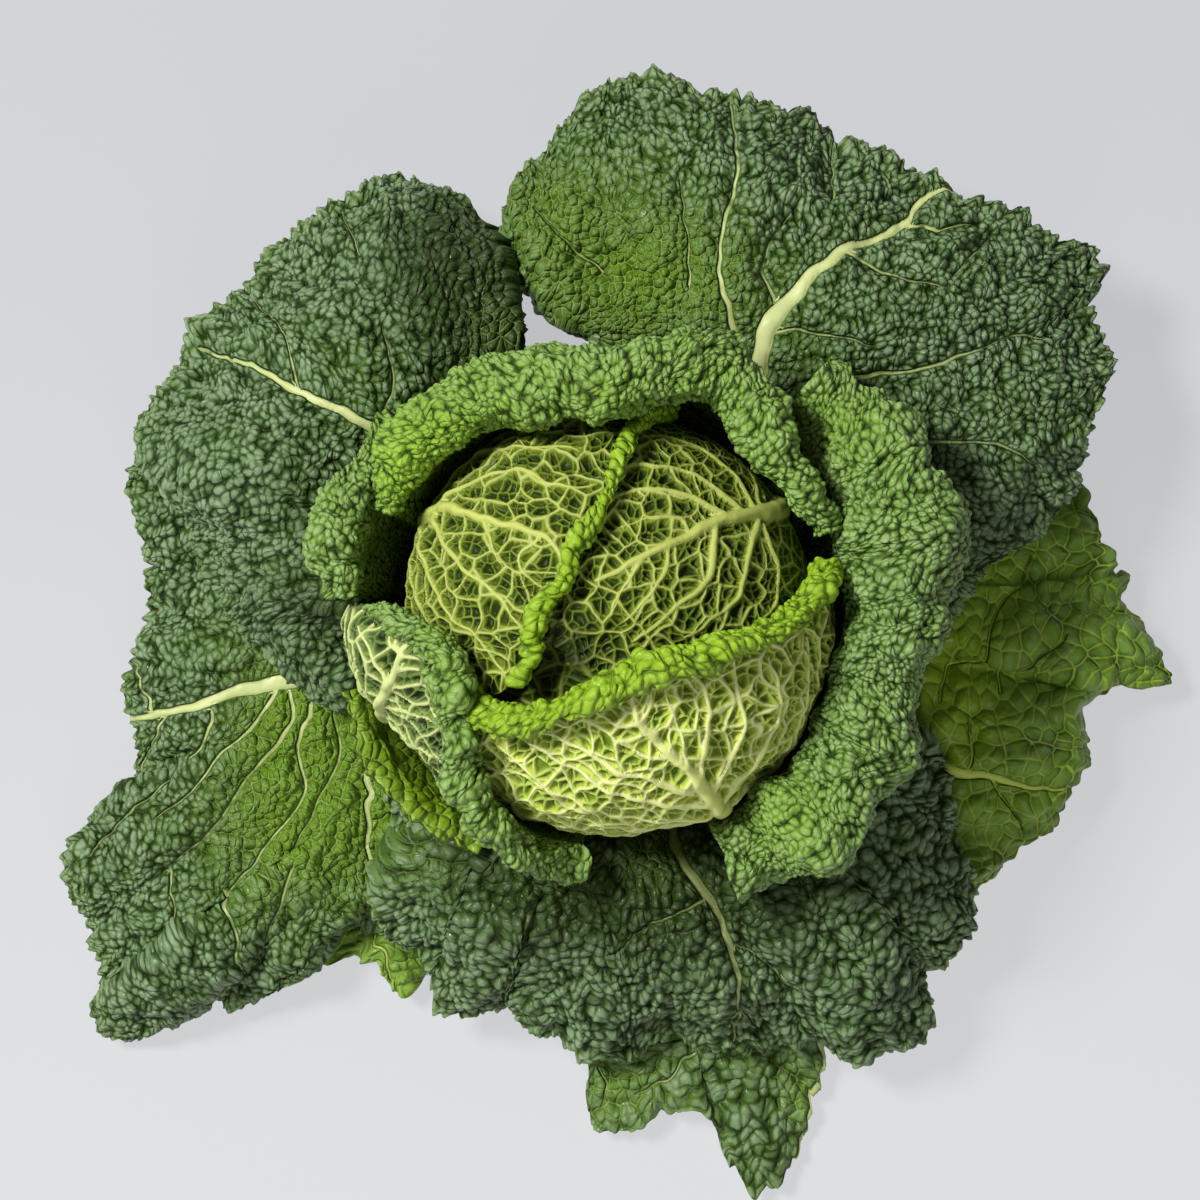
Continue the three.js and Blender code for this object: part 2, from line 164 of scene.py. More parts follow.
RANDOMNESS = 0.92  # how far the cells depart from a regular grid
PEBBLE_REACH = 0.72  # radius of a pebble, in cells
CREASE_REACH = 0.24  # width of the wall beside a crease, in cells
MESH_CREASE = 0.34  # the same in the meshes, which are too coarse for steep walls
ROUNDNESS = 0.74  # share of a pebble's height that is its round top
NET_SHARE = 0.43  # size of pebbles and fine pits over that of their clusters and coarse net
CLUSTERING = 0.42  # share of the relief that the clusters have
NOISE_GAIN = 3.2  # takes the noise texture to about -1 and 1


def read_pattern(pattern: Pattern, places: Array, detail: float = 0.0) -> Array:
    """Reads one of Blender's textures at many places.

    Args:
        pattern: the texture.
        places: one row of three coordinates for each place, in units of the texture's cells.
        detail: octaves that the noise adds.

    Returns:
        Three numbers for each place: the noise's or cell's colour, or three times the distance
        to the nearest cell's edge or centre.
    """
    mesh = bpy.data.meshes.new("probe")
    mesh.vertices.add(len(places))
    mesh.vertices.foreach_set("co", np.ascontiguousarray(places, np.float32).ravel())
    holder = bpy.data.objects.new("probe", mesh)
    bpy.context.scene.collection.objects.link(holder)
    tree = bpy.data.node_groups.new("probe", "GeometryNodeTree")
    for way in ("INPUT", "OUTPUT"):
        tree.interface.new_socket("Geometry", in_out=way, socket_type="NodeSocketGeometry")
    kind, settings, wanted = pattern.value
    texture = tree.nodes.new(kind)
    for name, value in settings.items():
        setattr(texture, name, value)
    texture.inputs["Scale"].default_value = 1.0
    if pattern is Pattern.NOISE:
        texture.inputs["Detail"].default_value = detail
    else:
        texture.inputs["Randomness"].default_value = RANDOMNESS
    place = tree.nodes.new("GeometryNodeInputPosition")
    store = tree.nodes.new("GeometryNodeStoreNamedAttribute")
    store.data_type = "FLOAT_VECTOR"
    store.inputs["Name"].default_value = "read"
    start = tree.nodes.new("NodeGroupInput")
    end = tree.nodes.new("NodeGroupOutput")
    tree.links.new(place.outputs[0], texture.inputs["Vector"])
    tree.links.new(texture.outputs[wanted], store.inputs["Value"])
    tree.links.new(start.outputs[0], store.inputs["Geometry"])
    tree.links.new(store.outputs[0], end.inputs[0])
    holder.modifiers.new("read", "NODES").node_group = tree
    found = holder.evaluated_get(bpy.context.evaluated_depsgraph_get()).data.attributes["read"]
    numbers = np.empty(len(places) * 3, np.float32)
    found.data.foreach_get("vector", numbers)
    bpy.data.objects.remove(holder)
    bpy.data.meshes.remove(mesh)
    bpy.data.node_groups.remove(tree)
    return numbers.reshape(-1, 3).astype(float)


def pebbles(places: Array) -> Array:
    """Raises round pebbles that meet in creases.

    Args:
        places: the places asked for, in cells.

    Returns:
        The height at each place, from 0 to 1.
    """
    off = read_pattern(Pattern.CENTRES, places)[:, 0] / PEBBLE_REACH
    wall = np.minimum(read_pattern(Pattern.EDGES, places)[:, 0] / MESH_CREASE, 1)
    return ROUNDNESS * np.maximum(1 - off * off, 0) + (1 - ROUNDNESS) * (1 - (1 - wall) ** 2)


def clustered(places: Array) -> Array:
    """Returns the height of pebbles that stand in clusters, from 0 to 1."""
    return mix(pebbles(places), pebbles(places * NET_SHARE), CLUSTERING)


def noise(places: Array, size: float, detail: float = 0.0) -> Array:
    """Returns three smooth noises of that grain at the places, each from about -1 to 1."""
    return NOISE_GAIN * (read_pattern(Pattern.NOISE, places / size, detail) - 0.5)


def flattened(chart: Array) -> Array:
    """Returns the places of a flat chart as rows of three coordinates."""
    return np.column_stack([chart, np.zeros(len(chart))])


# ---- Where the eye stands --------------------------------------------------------------------


@dataclass(frozen=True)
class Eye:
    """The camera, looking straight down on the head.

    A view unit is 1/1200 of its frame, counted from the upper left corner.
    """

    x: float = -5.75
    y: float = 5.75
    height: float = 1504.0
    units: float = 1200.0
    unit_size: float = 0.3836  # of one view unit, at the distance below
    distance: float = 1400.0
    sensor: float = 36.0
    nearest: float = 0.05  # metres
    farthest: float = 10.0

    def seen(self, points: Array) -> Array:
        """Finds where points show.

        Args:
            points: the points, in millimetres.

        Returns:
            Their places in view units, across and down.
        """
        near = self.distance / (self.unit_size * (self.height - points[..., 2]))
        across = self.units / 2 + (points[..., 0] - self.x) * near
        down = self.units / 2 - (points[..., 1] - self.y) * near
        return np.stack([across, down], -1)

    def build(self) -> None:
        """Makes the camera and looks through it."""
        data = bpy.data.cameras.new("eye")
        data.sensor_width = self.sensor
        data.lens = self.sensor * self.distance / (self.units * self.unit_size)
        data.clip_start = self.nearest
        data.clip_end = self.farthest
        camera = bpy.data.objects.new("eye", data)
        camera.location = (self.x * MM, self.y * MM, self.height * MM)
        bpy.context.scene.collection.objects.link(camera)
        bpy.context.scene.camera = camera


EYE = Eye()


# ---- Finishes ----------------------------------------------------------------------------------


def paint(red: int, green: int, blue: int) -> Colour:
    """Returns a shader colour from the red, green and blue of a screen, 0 to 255."""
    linear = [c / 255 / 12.92 if c < 11 else ((c / 255 + 0.055) / 1.055) ** 2.4 for c in (red, green, blue)]
    return (*linear, 1.0)


class Canvas:
    """One material's node tree, and short ways to add to it."""

    def __init__(self, name: str) -> None:
        """Starts a material with a single shader.

        Args:
            name: the material's name.
        """
        self.material = bpy.data.materials.new(name)
        self.material.use_nodes = True
        self.tree = self.material.node_tree
        self.shader = self.tree.nodes["Principled BSDF"]

    def set(self, socket: Socket, value: object) -> None:
        """Links or sets an input.

        Args:
            socket: the input.
            value: a socket to link, or a value to set.
        """
        if isinstance(value, Socket):
            self.tree.links.new(value, socket)
        else:
            socket.default_value = value

    def add(self, kind: str, values: dict, **settings: object) -> bpy.types.Node:
        """Adds a node.

        Args:
            kind: the node's type.
            values: for each input, by name or number, a socket to link or a value to set.
            settings: properties of the node.

        Returns:
            The new node.
        """
        node = self.tree.nodes.new(kind)
        for name, value in settings.items():
            setattr(node, name, value)
        for name, value in values.items():
            self.set(node.inputs[name], value)
        return node

    def layer(self, name: str) -> Socket:
        """Returns a vector stored on the mesh's points."""
        return self.add("ShaderNodeAttribute", {}, attribute_name=name).outputs["Vector"]

    def part(self, vector: Socket, axis: str) -> Socket:
        """Returns the X, Y or Z of a vector."""
        return self.add("ShaderNodeSeparateXYZ", {0: vector}).outputs[axis]

    def maths(self, operation: str, *values: object) -> Socket:
        """Returns the result of a sum on one or two numbers."""
        return self.add("ShaderNodeMath", dict(enumerate(values)), operation=operation).outputs[0]

    def times(self, first: object, second: object) -> Socket:
        """Returns the product of two numbers."""
        return self.maths("MULTIPLY", first, second)

    def ease(self, value: Socket, low: float, high: float, start: object = 0.0, end: object = 1.0) -> Socket:
        """Returns start below low, end above high, and a smooth rise between."""
        values = {0: value, 1: low, 2: high, 3: start, 4: end}
        return self.add("ShaderNodeMapRange", values, interpolation_type="SMOOTHSTEP").outputs[0]

    def blend(self, share: object, first: object, second: object) -> Socket:
        """Returns a colour that lies at share of the way from the first to the second."""
        return self.add("ShaderNodeMix", {0: share, 6: first, 7: second}, data_type="RGBA").outputs[2]

    def cells(self, place: Socket, scale: float, pattern: Pattern = Pattern.EDGES) -> Socket:
        """Measures cells.

        Args:
            place: where on the leaf's chart.
            scale: how many cells lie along one of the chart's.
            pattern: whether edges or centres are looked for.

        Returns:
            The distance to the nearest edge or centre.
        """
        kind, settings, wanted = pattern.value
        values = {"Vector": place, "Scale": scale, "Randomness": RANDOMNESS}
        return self.add(kind, values, **settings).outputs[wanted]

    def pebble(self, place: Socket, scale: float) -> Socket:
        """Raises round pebbles that meet in creases.

        Args:
            place: where on the leaf's chart, in cells.
            scale: how many of the pebbles lie along one cell.

        Returns:
            Their height, from 0 to 1.
        """
        off = self.times(self.cells(place, scale, Pattern.CENTRES), 1 / PEBBLE_REACH)
        round_top = self.maths("MAXIMUM", self.maths("SUBTRACT", 1.0, self.times(off, off)), 0.0)
        wall = self.ease(self.cells(place, scale), 0.0, CREASE_REACH)
        return self.maths("ADD", self.times(round_top, ROUNDNESS), self.times(wall, 1 - ROUNDNESS))

    def clustered(self, place: Socket) -> Socket:
        """Returns the height of pebbles that stand in clusters, from 0 to 1."""
        alone = self.times(self.pebble(place, 1.0), 1 - CLUSTERING)
        return self.maths("ADD", alone, self.times(self.pebble(place, NET_SHARE), CLUSTERING))

    def grain(self, place: Socket, scale: float, detail: float = 2.0) -> Socket:
        """Returns a noise from 0 to 1."""
        return self.add("ShaderNodeTexNoise", {"Vector": place, "Scale": scale, "Detail": detail}).outputs[0]

    def rib_depth(self) -> Socket:
        """Measures how far a place lies outside the nearest rib.

        Returns:
            The distance from the rib's edge, which is negative on the rib.
        """
        rib = self.layer("rib")
        side = self.maths("ABSOLUTE", self.part(rib, "X"))
        half = self.part(rib, "Y")
        far = self.part(rib, "Z")
        near = self.maths("LESS_THAN", self.maths("SUBTRACT", far, half), 0.7)
        # The signed distance is only true close to a rib; the plain one serves elsewhere.
        sharp = self.times(self.maths("SUBTRACT", side, half), near)
        plain = self.times(far, self.maths("SUBTRACT", 1.0, near))
        return self.maths("ADD", sharp, plain)

    def rib_width(self) -> Socket:
        """Returns half the width of the nearest rib."""
        return self.part(self.layer("rib"), "Y")

    def bump(self, height: Socket, distance: float, strength: float) -> None:
        """Raises the shader's surface.

        Args:
            height: the height, from 0 to 1.
            distance: what a height of 1 stands for.
            strength: how strongly it shows.
        """
        values = {"Height": height, "Distance": distance * MM, "Strength": strength}
        self.wear("Normal", self.add("ShaderNodeBump", values).outputs[0])

    def wear(self, name: str, value: object) -> None:
        """Links or sets one of the shader's inputs."""
        self.set(self.shader.inputs[name], value)


@dataclass(frozen=True)
class UpperFinish:
    """The blistered face of a leaf: waxy pillows with painted sheen on top and painted shade in the creases,
    pale ribs, wet glints.

    Spans of blisters are shares of their height, those of edges are in cells, and those of ribs
    are in millimetres. Scales are in cells.
    """

    name: str
    deep: Colour = paint(60, 88, 38)
    fresh: Colour = paint(100, 139, 6)
    # real wax bloom with painted sheen: laid on the blisters' tops, which are painted paler as if lit
    bloom_and_sheen: Colour = paint(158, 182, 142)
    # painted shade: the colour that the creases between blisters are darkened to
    crease_shade: Colour = paint(20, 36, 3)
    rib: Colour = paint(204, 212, 146)
    rim: Colour = paint(104, 136, 56)
    # painted shade: the olive that leaf lying in shadow or in a hollow is darkened to
    shade_olive: Colour = paint(40, 58, 8)
    bloom_and_sheen_amount: float = 0.72
    fresh_bloom_and_sheen: float = 0.1  # share of the wax bloom and painted sheen that fresh leaf keeps
    bloom_and_sheen_span: Span = (0.42, 0.86)
    patch_scale: float = 0.16
    patch_span: Span = (0.3, 0.7)
    thin_bloom_and_sheen: float = 0.55  # share of the wax bloom and painted sheen in thin patches
    crease_shade_span: Span = (0.14, 0.62)
    crease_shade_strength: float = 0.92
    fresh_crease_shade: float = 0.4  # share of this painted crease shade on fresh leaf
    vein_span: Span = (0.015, 0.09)
    vein_light: float = 0.0  # how pale the creases' veins are
    fresh_vein: float = 0.7  # the same on fresh leaf
    fresh_span: Span = (0.25, 0.75)
    vein_least: float = 0.8  # how strongly the narrowest ribs show
    rib_span: Span = (-0.35, 0.3)
    rib_core: float = -1.6  # how deep in a rib its own colour is full
    rib_fade: Span = (0.3, 1.3)  # half widths at which a rib shows least, and fully
    rib_breaks: Span = (0.38, 0.56)
    rim_strength: float = 0.6
    shade_olive_strength: float = 0.85
    shade_olive_on_rib: float = 0.6
    speckle_scale: float = 1.7
    speckling: float = 0.2
    roughness: float = 0.44
    wetness: float = 0.24
    wet_scale: float = 0.9
    wet_span: Span = (0.58, 0.7)
    specular: float = 0.32
    relief: float = 2.0
    lobe_scale: float = 2.2
    lobe_share: float = 0.18
    wrinkle_scale: float = 3.2
    wrinkle_share: float = 0.22

    def build(self) -> bpy.types.Material:
        """Mixes the finish.

        Returns:
            The material.
        """
        canvas = Canvas(self.name)
        place = canvas.layer("cell_at")
        tone_and_shade = canvas.layer("tone_and_shade")
        freshness = canvas.part(tone_and_shade, "X")
        shade_share = canvas.part(tone_and_shade, "Z")
        pebble = canvas.clustered(place)
        lobes = canvas.maths("SUBTRACT", 1.0, canvas.cells(place, self.lobe_scale, Pattern.CENTRES))
        patches = canvas.grain(place, self.patch_scale, 3.0)
        speckle = canvas.grain(place, self.speckle_scale)
        rib_depth = canvas.rib_depth()
        skin = canvas.blend(freshness, self.deep, self.fresh)
        on_rim = canvas.ease(canvas.part(tone_and_shade, "Y"), 0.0, 1.0, 0.0, self.rim_strength)
        skin = canvas.blend(on_rim, skin, self.rim)
        thin = canvas.ease(patches, *self.patch_span, self.thin_bloom_and_sheen, 1.0)
        # Wax bloom with painted sheen: the higher a blister's top, the paler it is painted, as where light
        # falls on it.
        bloom_and_sheen_share = canvas.times(canvas.ease(pebble, *self.bloom_and_sheen_span), thin)
        least_bloom_and_sheen = self.fresh_bloom_and_sheen * self.bloom_and_sheen_amount
        bloom_and_sheen_share = canvas.times(bloom_and_sheen_share, canvas.ease(freshness, 0.0, 1.0, self.bloom_and_sheen_amount, least_bloom_and_sheen))
        skin = canvas.blend(bloom_and_sheen_share, skin, self.bloom_and_sheen)
        # Painted shade: leaf in the shade patches, in shadow or in a hollow, darkens towards olive.
        skin = canvas.blend(canvas.times(shade_share, self.shade_olive_strength), skin, self.shade_olive)
        # Painted shade: the creases between blisters darken towards the crease colour, less so on fresh leaf.
        shade = canvas.times(canvas.ease(pebble, *self.crease_shade_span, self.crease_shade_strength, 0.0),
                             canvas.ease(freshness, 0.0, 1.0, 1.0, self.fresh_crease_shade))
        skin = canvas.blend(shade, skin, self.crease_shade)
        thread = canvas.ease(freshness, *self.fresh_span, self.vein_light, self.fresh_vein)
        thread = canvas.ease(canvas.cells(place, 1.0), *self.vein_span, thread, 0.0)
        skin = canvas.blend(thread, skin, canvas.blend(0.6, self.rib, self.fresh))
        skin = canvas.blend(canvas.times(speckle, self.speckling), skin, self.deep)
        rib_edge = canvas.blend(0.45, self.rib, self.fresh)
        rib = canvas.blend(canvas.ease(rib_depth, self.rib_core, 0.0), self.rib, rib_edge)
        # The same painted shade darkens the ribs.
        rib = canvas.blend(canvas.times(shade_share, self.shade_olive_on_rib), rib, self.shade_olive)
        canvas.wear("Base Color", canvas.blend(self.rib_cover(canvas, place, rib_depth), skin, rib))
        wet = canvas.ease(canvas.grain(place, self.wet_scale, 1.0), *self.wet_span, 0.0, self.wetness)
        dry = canvas.ease(patches, *self.patch_span, self.roughness - 0.05, self.roughness + 0.07)
        canvas.wear("Roughness", canvas.maths("SUBTRACT", dry, wet))
        canvas.wear("Specular IOR Level", self.specular)
        height = canvas.maths("ADD", pebble, canvas.times(lobes, self.lobe_share))
        wrinkles = canvas.grain(place, self.wrinkle_scale, 3.0)
        height = canvas.maths("ADD", height, canvas.times(wrinkles, self.wrinkle_share))
        canvas.bump(canvas.times(height, canvas.ease(rib_depth, -0.35, 0.5)), self.relief, 1.0)
        return canvas.material

    def rib_cover(self, canvas: Canvas, place: Socket, rib_depth: Socket) -> Socket:
        """Finds how far ribs cover a place.

        Args:
            canvas: the material's canvas.
            place: where on the leaf's chart.
            rib_depth: the distance from the nearest rib's edge.

        Returns:
            The cover, from 0 to 1: full where a rib is wide, broken where it is thin.
        """
        light = canvas.ease(canvas.rib_width(), *self.rib_fade, self.vein_least, 1.0)
        cover = canvas.times(canvas.ease(rib_depth, *self.rib_span, 1.0, 0.0), light)
        breaks = canvas.ease(canvas.grain(place, 0.5, 1.0), *self.rib_breaks, 0.25, 1.0)
        return canvas.times(cover, canvas.ease(canvas.rib_width(), 0.7, 1.2, breaks))


@dataclass(frozen=True)
class UnderFinish:
    """The net-veined face of a leaf: raised pale veins of three sizes round pits painted dark as shade.

    Spans of the net are in cells from a vein's middle, and those of ribs are in millimetres.
    """

    name: str
    # painted shade: the colour that the pits between the veins are darkened to
    pit: Colour = paint(28, 42, 4)
    blade: Colour = paint(88, 112, 22)
    fine_net: Colour = paint(148, 162, 68)
    net: Colour = paint(182, 192, 102)
    rib: Colour = paint(198, 206, 106)
    flush: Colour = paint(130, 150, 36)
    coarse_span: Span = (0.02, 0.095)
    coarse_light: float = 0.9
    fine_span: Span = (0.01, 0.1)
    fine_light: Span = (0.15, 0.5)  # in faint patches and in clear ones
    pit_shade_span: Span = (0.03, 0.24)
    flush_span: Span = (0.04, 0.26)
    rib_span: Span = (-0.3, 0.4)
    beside_rib: float = 3.6  # how far the flush goes beside a rib
    speckle_scale: float = 2.6
    roughness: float = 0.46
    specular: float = 0.22
    relief: float = 0.8

    def build(self) -> bpy.types.Material:
        """Mixes the finish.

        Returns:
            The material.
        """
        canvas = Canvas(self.name)
        place = canvas.layer("cell_at")
        coarse = canvas.cells(place, NET_SHARE)
        fine = canvas.cells(place, 1.0)
        patches = canvas.grain(place, 0.12, 3.0)
        speckle = canvas.grain(place, self.speckle_scale)
        rib_depth = canvas.rib_depth()
        on_rib = canvas.ease(rib_depth, *self.rib_span, 1.0, 0.0)
        near_rib = canvas.ease(rib_depth, 0.0, self.beside_rib, 0.7, 0.0)
        on_coarse = canvas.ease(coarse, *self.coarse_span, self.coarse_light, 0.0)
        on_fine = canvas.ease(fine, *self.fine_span, canvas.ease(patches, 0.35, 0.65, *self.fine_light), 0.0)
        # Painted shade: away from the fine veins the pits darken towards the pit colour.
        skin = canvas.blend(canvas.ease(fine, *self.pit_shade_span), self.blade, self.pit)
        skin = canvas.blend(canvas.ease(coarse, *self.flush_span, 0.5, 0.0), skin, self.flush)
        skin = canvas.blend(canvas.times(speckle, 0.14), skin, self.blade)
        skin = canvas.blend(near_rib, skin, self.flush)
        skin = canvas.blend(on_fine, skin, self.fine_net)
        skin = canvas.blend(on_coarse, skin, self.net)
        skin = canvas.blend(on_rib, skin, canvas.blend(canvas.ease(rib_depth, -2.0, 0.0), self.rib, self.net))
        # Painted shade: leaf in the shade patches darkens towards the pit colour.
        skin = canvas.blend(canvas.times(canvas.part(canvas.layer("tone_and_shade"), "Z"), 0.9), skin, self.pit)
        canvas.wear("Base Color", skin)
        canvas.wear("Roughness", canvas.ease(speckle, 0.2, 0.8, self.roughness - 0.08, self.roughness + 0.12))
        canvas.wear("Specular IOR Level", self.specular)
        fine_ridge = canvas.ease(fine, 0.02, 0.28, 0.75, 0.0)
        height = canvas.maths("MAXIMUM", fine_ridge, canvas.ease(coarse, 0.01, 0.17, 1.0, 0.0))
        height = canvas.maths("MAXIMUM", height, on_rib)
        canvas.bump(canvas.maths("ADD", height, canvas.times(speckle, 0.12)), self.relief, 0.9)
        return canvas.material


# ---- Leaves ------------------------------------------------------------------------------------

SWELL_GRAIN = 26.0  # size of a blade's slow waves
LUMP_GRAIN = 9.0  # of its lumps
STRAY_GRAIN = 8.0  # of the bends in its ribs
LOBE_GRAIN = 17.0  # of its rim's lobes
TOOTH_GRAIN = 5.5  # of its rim's teeth
DRIFT_GRAIN = 30.0  # of its slow changes of colour
PATTERN_STEP = 37.0  # parts each leaf's pattern from the next one's
RIM_THICKNESS = 0.7
FLOOR_GAP = 0.6  # least height of a leaf over the floor
RIB_SAMPLE = 1.2  # distance between a rib's samples
RIB_BRIDGE = 0.9  # how far along the rib one sample stands for it
BEND_GRAIN = 3.4  # size of the bends in rows of cells, in cells
JITTER = 0.13  # how far single cells are bent, in cells
JITTER_GRAIN = 1.3
NO_RIB = 99.0  # distance that stands for no rib at all


class Face(Enum):
    """The two faces of a leaf, and the band of the map that each takes."""

    UPPER = (0.36, 0.99)
    UNDER = (0.01, 0.31)


@dataclass(frozen=True)
class Vein:
    """A rib: its course in view units, and its width in millimetres at its start and end."""

    course: tuple[tuple[float, float], ...]
    start: float
    end: float


@dataclass(frozen=True)
class Patch:
    """A stretch of leaf that differs: its middle and reach in view units, and its strength."""

    across: float
    down: float
    reach: float
    strength: float


@dataclass(frozen=True)
class Core:
    """The heart that every leaf is laid round, and the stump that the leaves grow from."""

    centre: float = 92.0
    radius: float = 76.0
    half_height: float = 64.0
    stump_radius: float = 18.5
    gap: float = 0.5
    squeeze: float = 0.62  # share of its layer distance that a leaf keeps at the stump
    room: float = 5.0  # spread leaves pass this far outside the collar
    lowest: float = 2.2

    def reach(self, polar: Array | float) -> Array:
        """Returns the heart's radius at that angle from straight down."""
        return 1.0 / np.hypot(np.sin(polar) / self.radius, np.cos(polar) / self.half_height)

    def base_polar(self, layer: float) -> float:
        """Returns the angle at which a leaf of that layer leaves the stump."""
        return math.asin((self.stump_radius + self.gap) / (self.half_height + self.squeeze * layer))

    def clear_height(self, radius: Array, layer: float) -> Array:
        """Returns the greatest height of a spread leaf that stays clear of the collar."""
        reach = self.radius + layer + self.room
        return self.centre - np.sqrt(np.maximum(reach * reach - radius * radius, 0.0))


CORE = Core()
FINE = 1.0


@dataclass(frozen=True)
class Weave:
    """The points of one face of a leaf, row by row from the stump to the rim."""

    u: Array
    v: Array
    share: Array  # of the way across its row
    climb: Array  # of the way up the leaf, by length
    starts: Array  # the first point of each row, and the end of the last


def zipped(low: Array, low_at: Array, high: Array, high_at: Array) -> Array:
    """Joins two rows of points with triangles.

    Args:
        low: the points of the first row.
        low_at: their places along it, from 0 to 1.
        high: the points of the second row.
        high_at: their places along it, from 0 to 1.

    Returns:
        Three points for each triangle.
    """
    low_middle = (low_at[1:] + low_at[:-1]) / 2
    high_middle = (high_at[1:] + high_at[:-1]) / 2
    beside_low = np.searchsorted(high_middle, low_middle)
    beside_high = np.searchsorted(low_middle, high_middle, side="right")
    first = np.stack([low[:-1], high[beside_low], low[1:]], 1)
    second = np.stack([low[beside_high], high[:-1], high[1:]], 1)
    return np.concatenate([first, second])


@dataclass(kw_only=True)
class Leaf:
    """A leaf: a surface with ribs, blisters between them and a ragged rim."""

    name: str
    slot: str
    upper: UpperFinish
    under: UnderFinish
    layer: float
    midrib: float  # azimuth in degrees
    veins: tuple[Vein, ...] = ()
    patches: tuple[Patch, ...] = ()  # of fresher leaf
    shade_patches: tuple[Patch, ...] = ()  # of painted shade, where the leaf lies in shadow or in a hollow
    freshness: float = 0.1
    cell: float = 4.0  # size of the upper face's blisters
    puff: float = 2.0  # their height
    net_cell: float = 0.0  # size of the under face's own fine pits; 0 if it shares the clusters
    net_depth: float = 1.0  # their depth
    quilt: float = 2.0  # how far the blade swells between ribs
    swell: float = 2.0  # slow waves of the blade
    lump: float = 0.5  # quicker lumps of the blade
    thickness: float = 1.3
    rag: float = 3.4  # how far the rim's lobes and notches go
    frill: float = 2.4  # how far the rim waves up and down
    bead: float = 2.2  # how far blisters bulge out over the rim
    curl: float = 0.0  # how far the rim turns down
    stray: float = 0.8  # how far ribs stray from their drawn course
    rib_growth: float = 1.0  # widens every rib
    traced: dict[str, Array] = field(default_factory=dict)

    def point(self, u: Array, v: Array) -> Array:
        """Returns points of the leaf's middle surface; u runs across and v from stump to rim."""
        raise NotImplementedError

    def shown(self, v: Array) -> Array:
        """Returns how much of the relief a place has, from 0 in the sheath to 1 in the open."""
        raise NotImplementedError

    def spacing(self, face: Face) -> tuple[tuple[float, ...], tuple[float, ...]]:
        """Returns places along v and the distance between points at each."""
        raise NotImplementedError

    def chart(self, face: Face, u: Array, v: Array) -> Array:
        """Lays one face of the leaf out flat, in millimetres, for its cells to be drawn on."""
        raise NotImplementedError

    def midrib_share(self) -> float:
        """Returns the u at which the midrib leaves the stump."""
        raise NotImplementedError

    def ribs_on(self) -> tuple[float, float]:
        """Returns the stretch of v that the drawn ribs lie on."""
        return (0.1, 1.0)

    def pattern_share(self, face: Face, v: Array) -> Array:
        """Returns how far a face shows its own cells, from 0 to 1."""
        return np.ones_like(v)

    def pleated(self, v: Array, base: Array) -> Array:
        """Returns how far long folds lift the leaf."""
        return np.zeros_like(v)

    def frame_at(self, u: Array, v: Array) -> tuple[Array, Array]:
        """Finds how the surface lies.

        Args:
            u: places across the leaf.
            v: places from stump to rim.

        Returns:
            The upper face's normal, and the direction towards the rim.
        """
        step = 2e-3
        across = self.point(np.minimum(u + step, 1), v) - self.point(np.maximum(u - step, 0), v)
        along = self.point(u, np.minimum(v + step, 1)) - self.point(u, np.maximum(v - step, 0))
        return unit(np.cross(along, across)), unit(along)

    def spacing_at(self, face: Face, v: Array | float) -> Array:
        """Returns the distance between points at places along v."""
        return np.interp(v, *self.spacing(face)) * FINE

    def weave(self, face: Face) -> Weave:
        """Spreads points over a face, evenly by length.

        Args:
            face: the face.

        Returns:
            The points, as closely spaced as spacing says.
        """
        u = np.linspace(0, 1, 193)
        v = np.linspace(0, 1, 385)
        surface = self.point(*np.meshgrid(u, v))
        climbed = np.linalg.norm(np.diff(surface, axis=0), axis=-1).mean(1)
        run = np.concatenate([[0], np.cumsum(climbed / self.spacing_at(face, (v[1:] + v[:-1]) / 2))])
        count = max(int(math.ceil(run[-1])), 6)
        rows = np.interp(np.linspace(0, run[-1], count + 1), run, v)
        climb = np.interp(rows, v, np.concatenate([[0], np.cumsum(climbed)]) / climbed.sum())
        lengths = run_along(self.point(*np.meshgrid(u, rows)))
        across, shares = [], []
        for row, length in zip(rows, lengths, strict=True):
            gaps = max(int(round(length[-1] / self.spacing_at(face, row))), 8)
            shares.append(np.linspace(0, 1, gaps + 1))
            across.append(np.interp(shares[-1] * length[-1], length, u))
        sizes = [len(share) for share in shares]
        return Weave(
            u=np.concatenate(across),
            v=np.repeat(rows, sizes),
            share=np.concatenate(shares),
            climb=np.repeat(climb, sizes),
            starts=np.concatenate([[0], np.cumsum(sizes)]),
        )

    def find(self, course: Array) -> Array:
        """Finds where on the leaf the points of a course show.

        Args:
            course: points in view units.

        Returns:
            The u and v of the topmost place that shows at each point.
        """
        grid = 181
        within = 5.0  # view units in which the topmost place is looked for
        same_layer = 8.0  # millimetres round it in which the nearest place is
        out_of_reach = 1e4
        u, v = np.meshgrid(np.linspace(0, 1, grid), np.linspace(*self.ribs_on(), grid))
        surface = self.point(u, v)
        seen = EYE.seen(surface)
        found = []
        for spot in course:
            off = np.linalg.norm(seen - spot, axis=-1)
            rank = np.where(off < within, -surface[..., 2], out_of_reach + off)
            best = np.unravel_index(np.argmin(rank), rank.shape)
            near = np.linalg.norm(surface - surface[best], axis=-1) < same_layer
            best = np.unravel_index(np.argmin(np.where(near, off, out_of_reach)), off.shape)
            found.append((u[best], v[best]))
        return np.array(found)

    def trace(self) -> None:
        """Lays every rib over the leaf's surface, as close samples with their half widths."""
        parts = {"places": [], "tangents": [], "sides": [], "halves": []}
        for index, vein in enumerate(self.veins):
            nodes = self.find(np.array(vein.course, float))
            if index == 0:
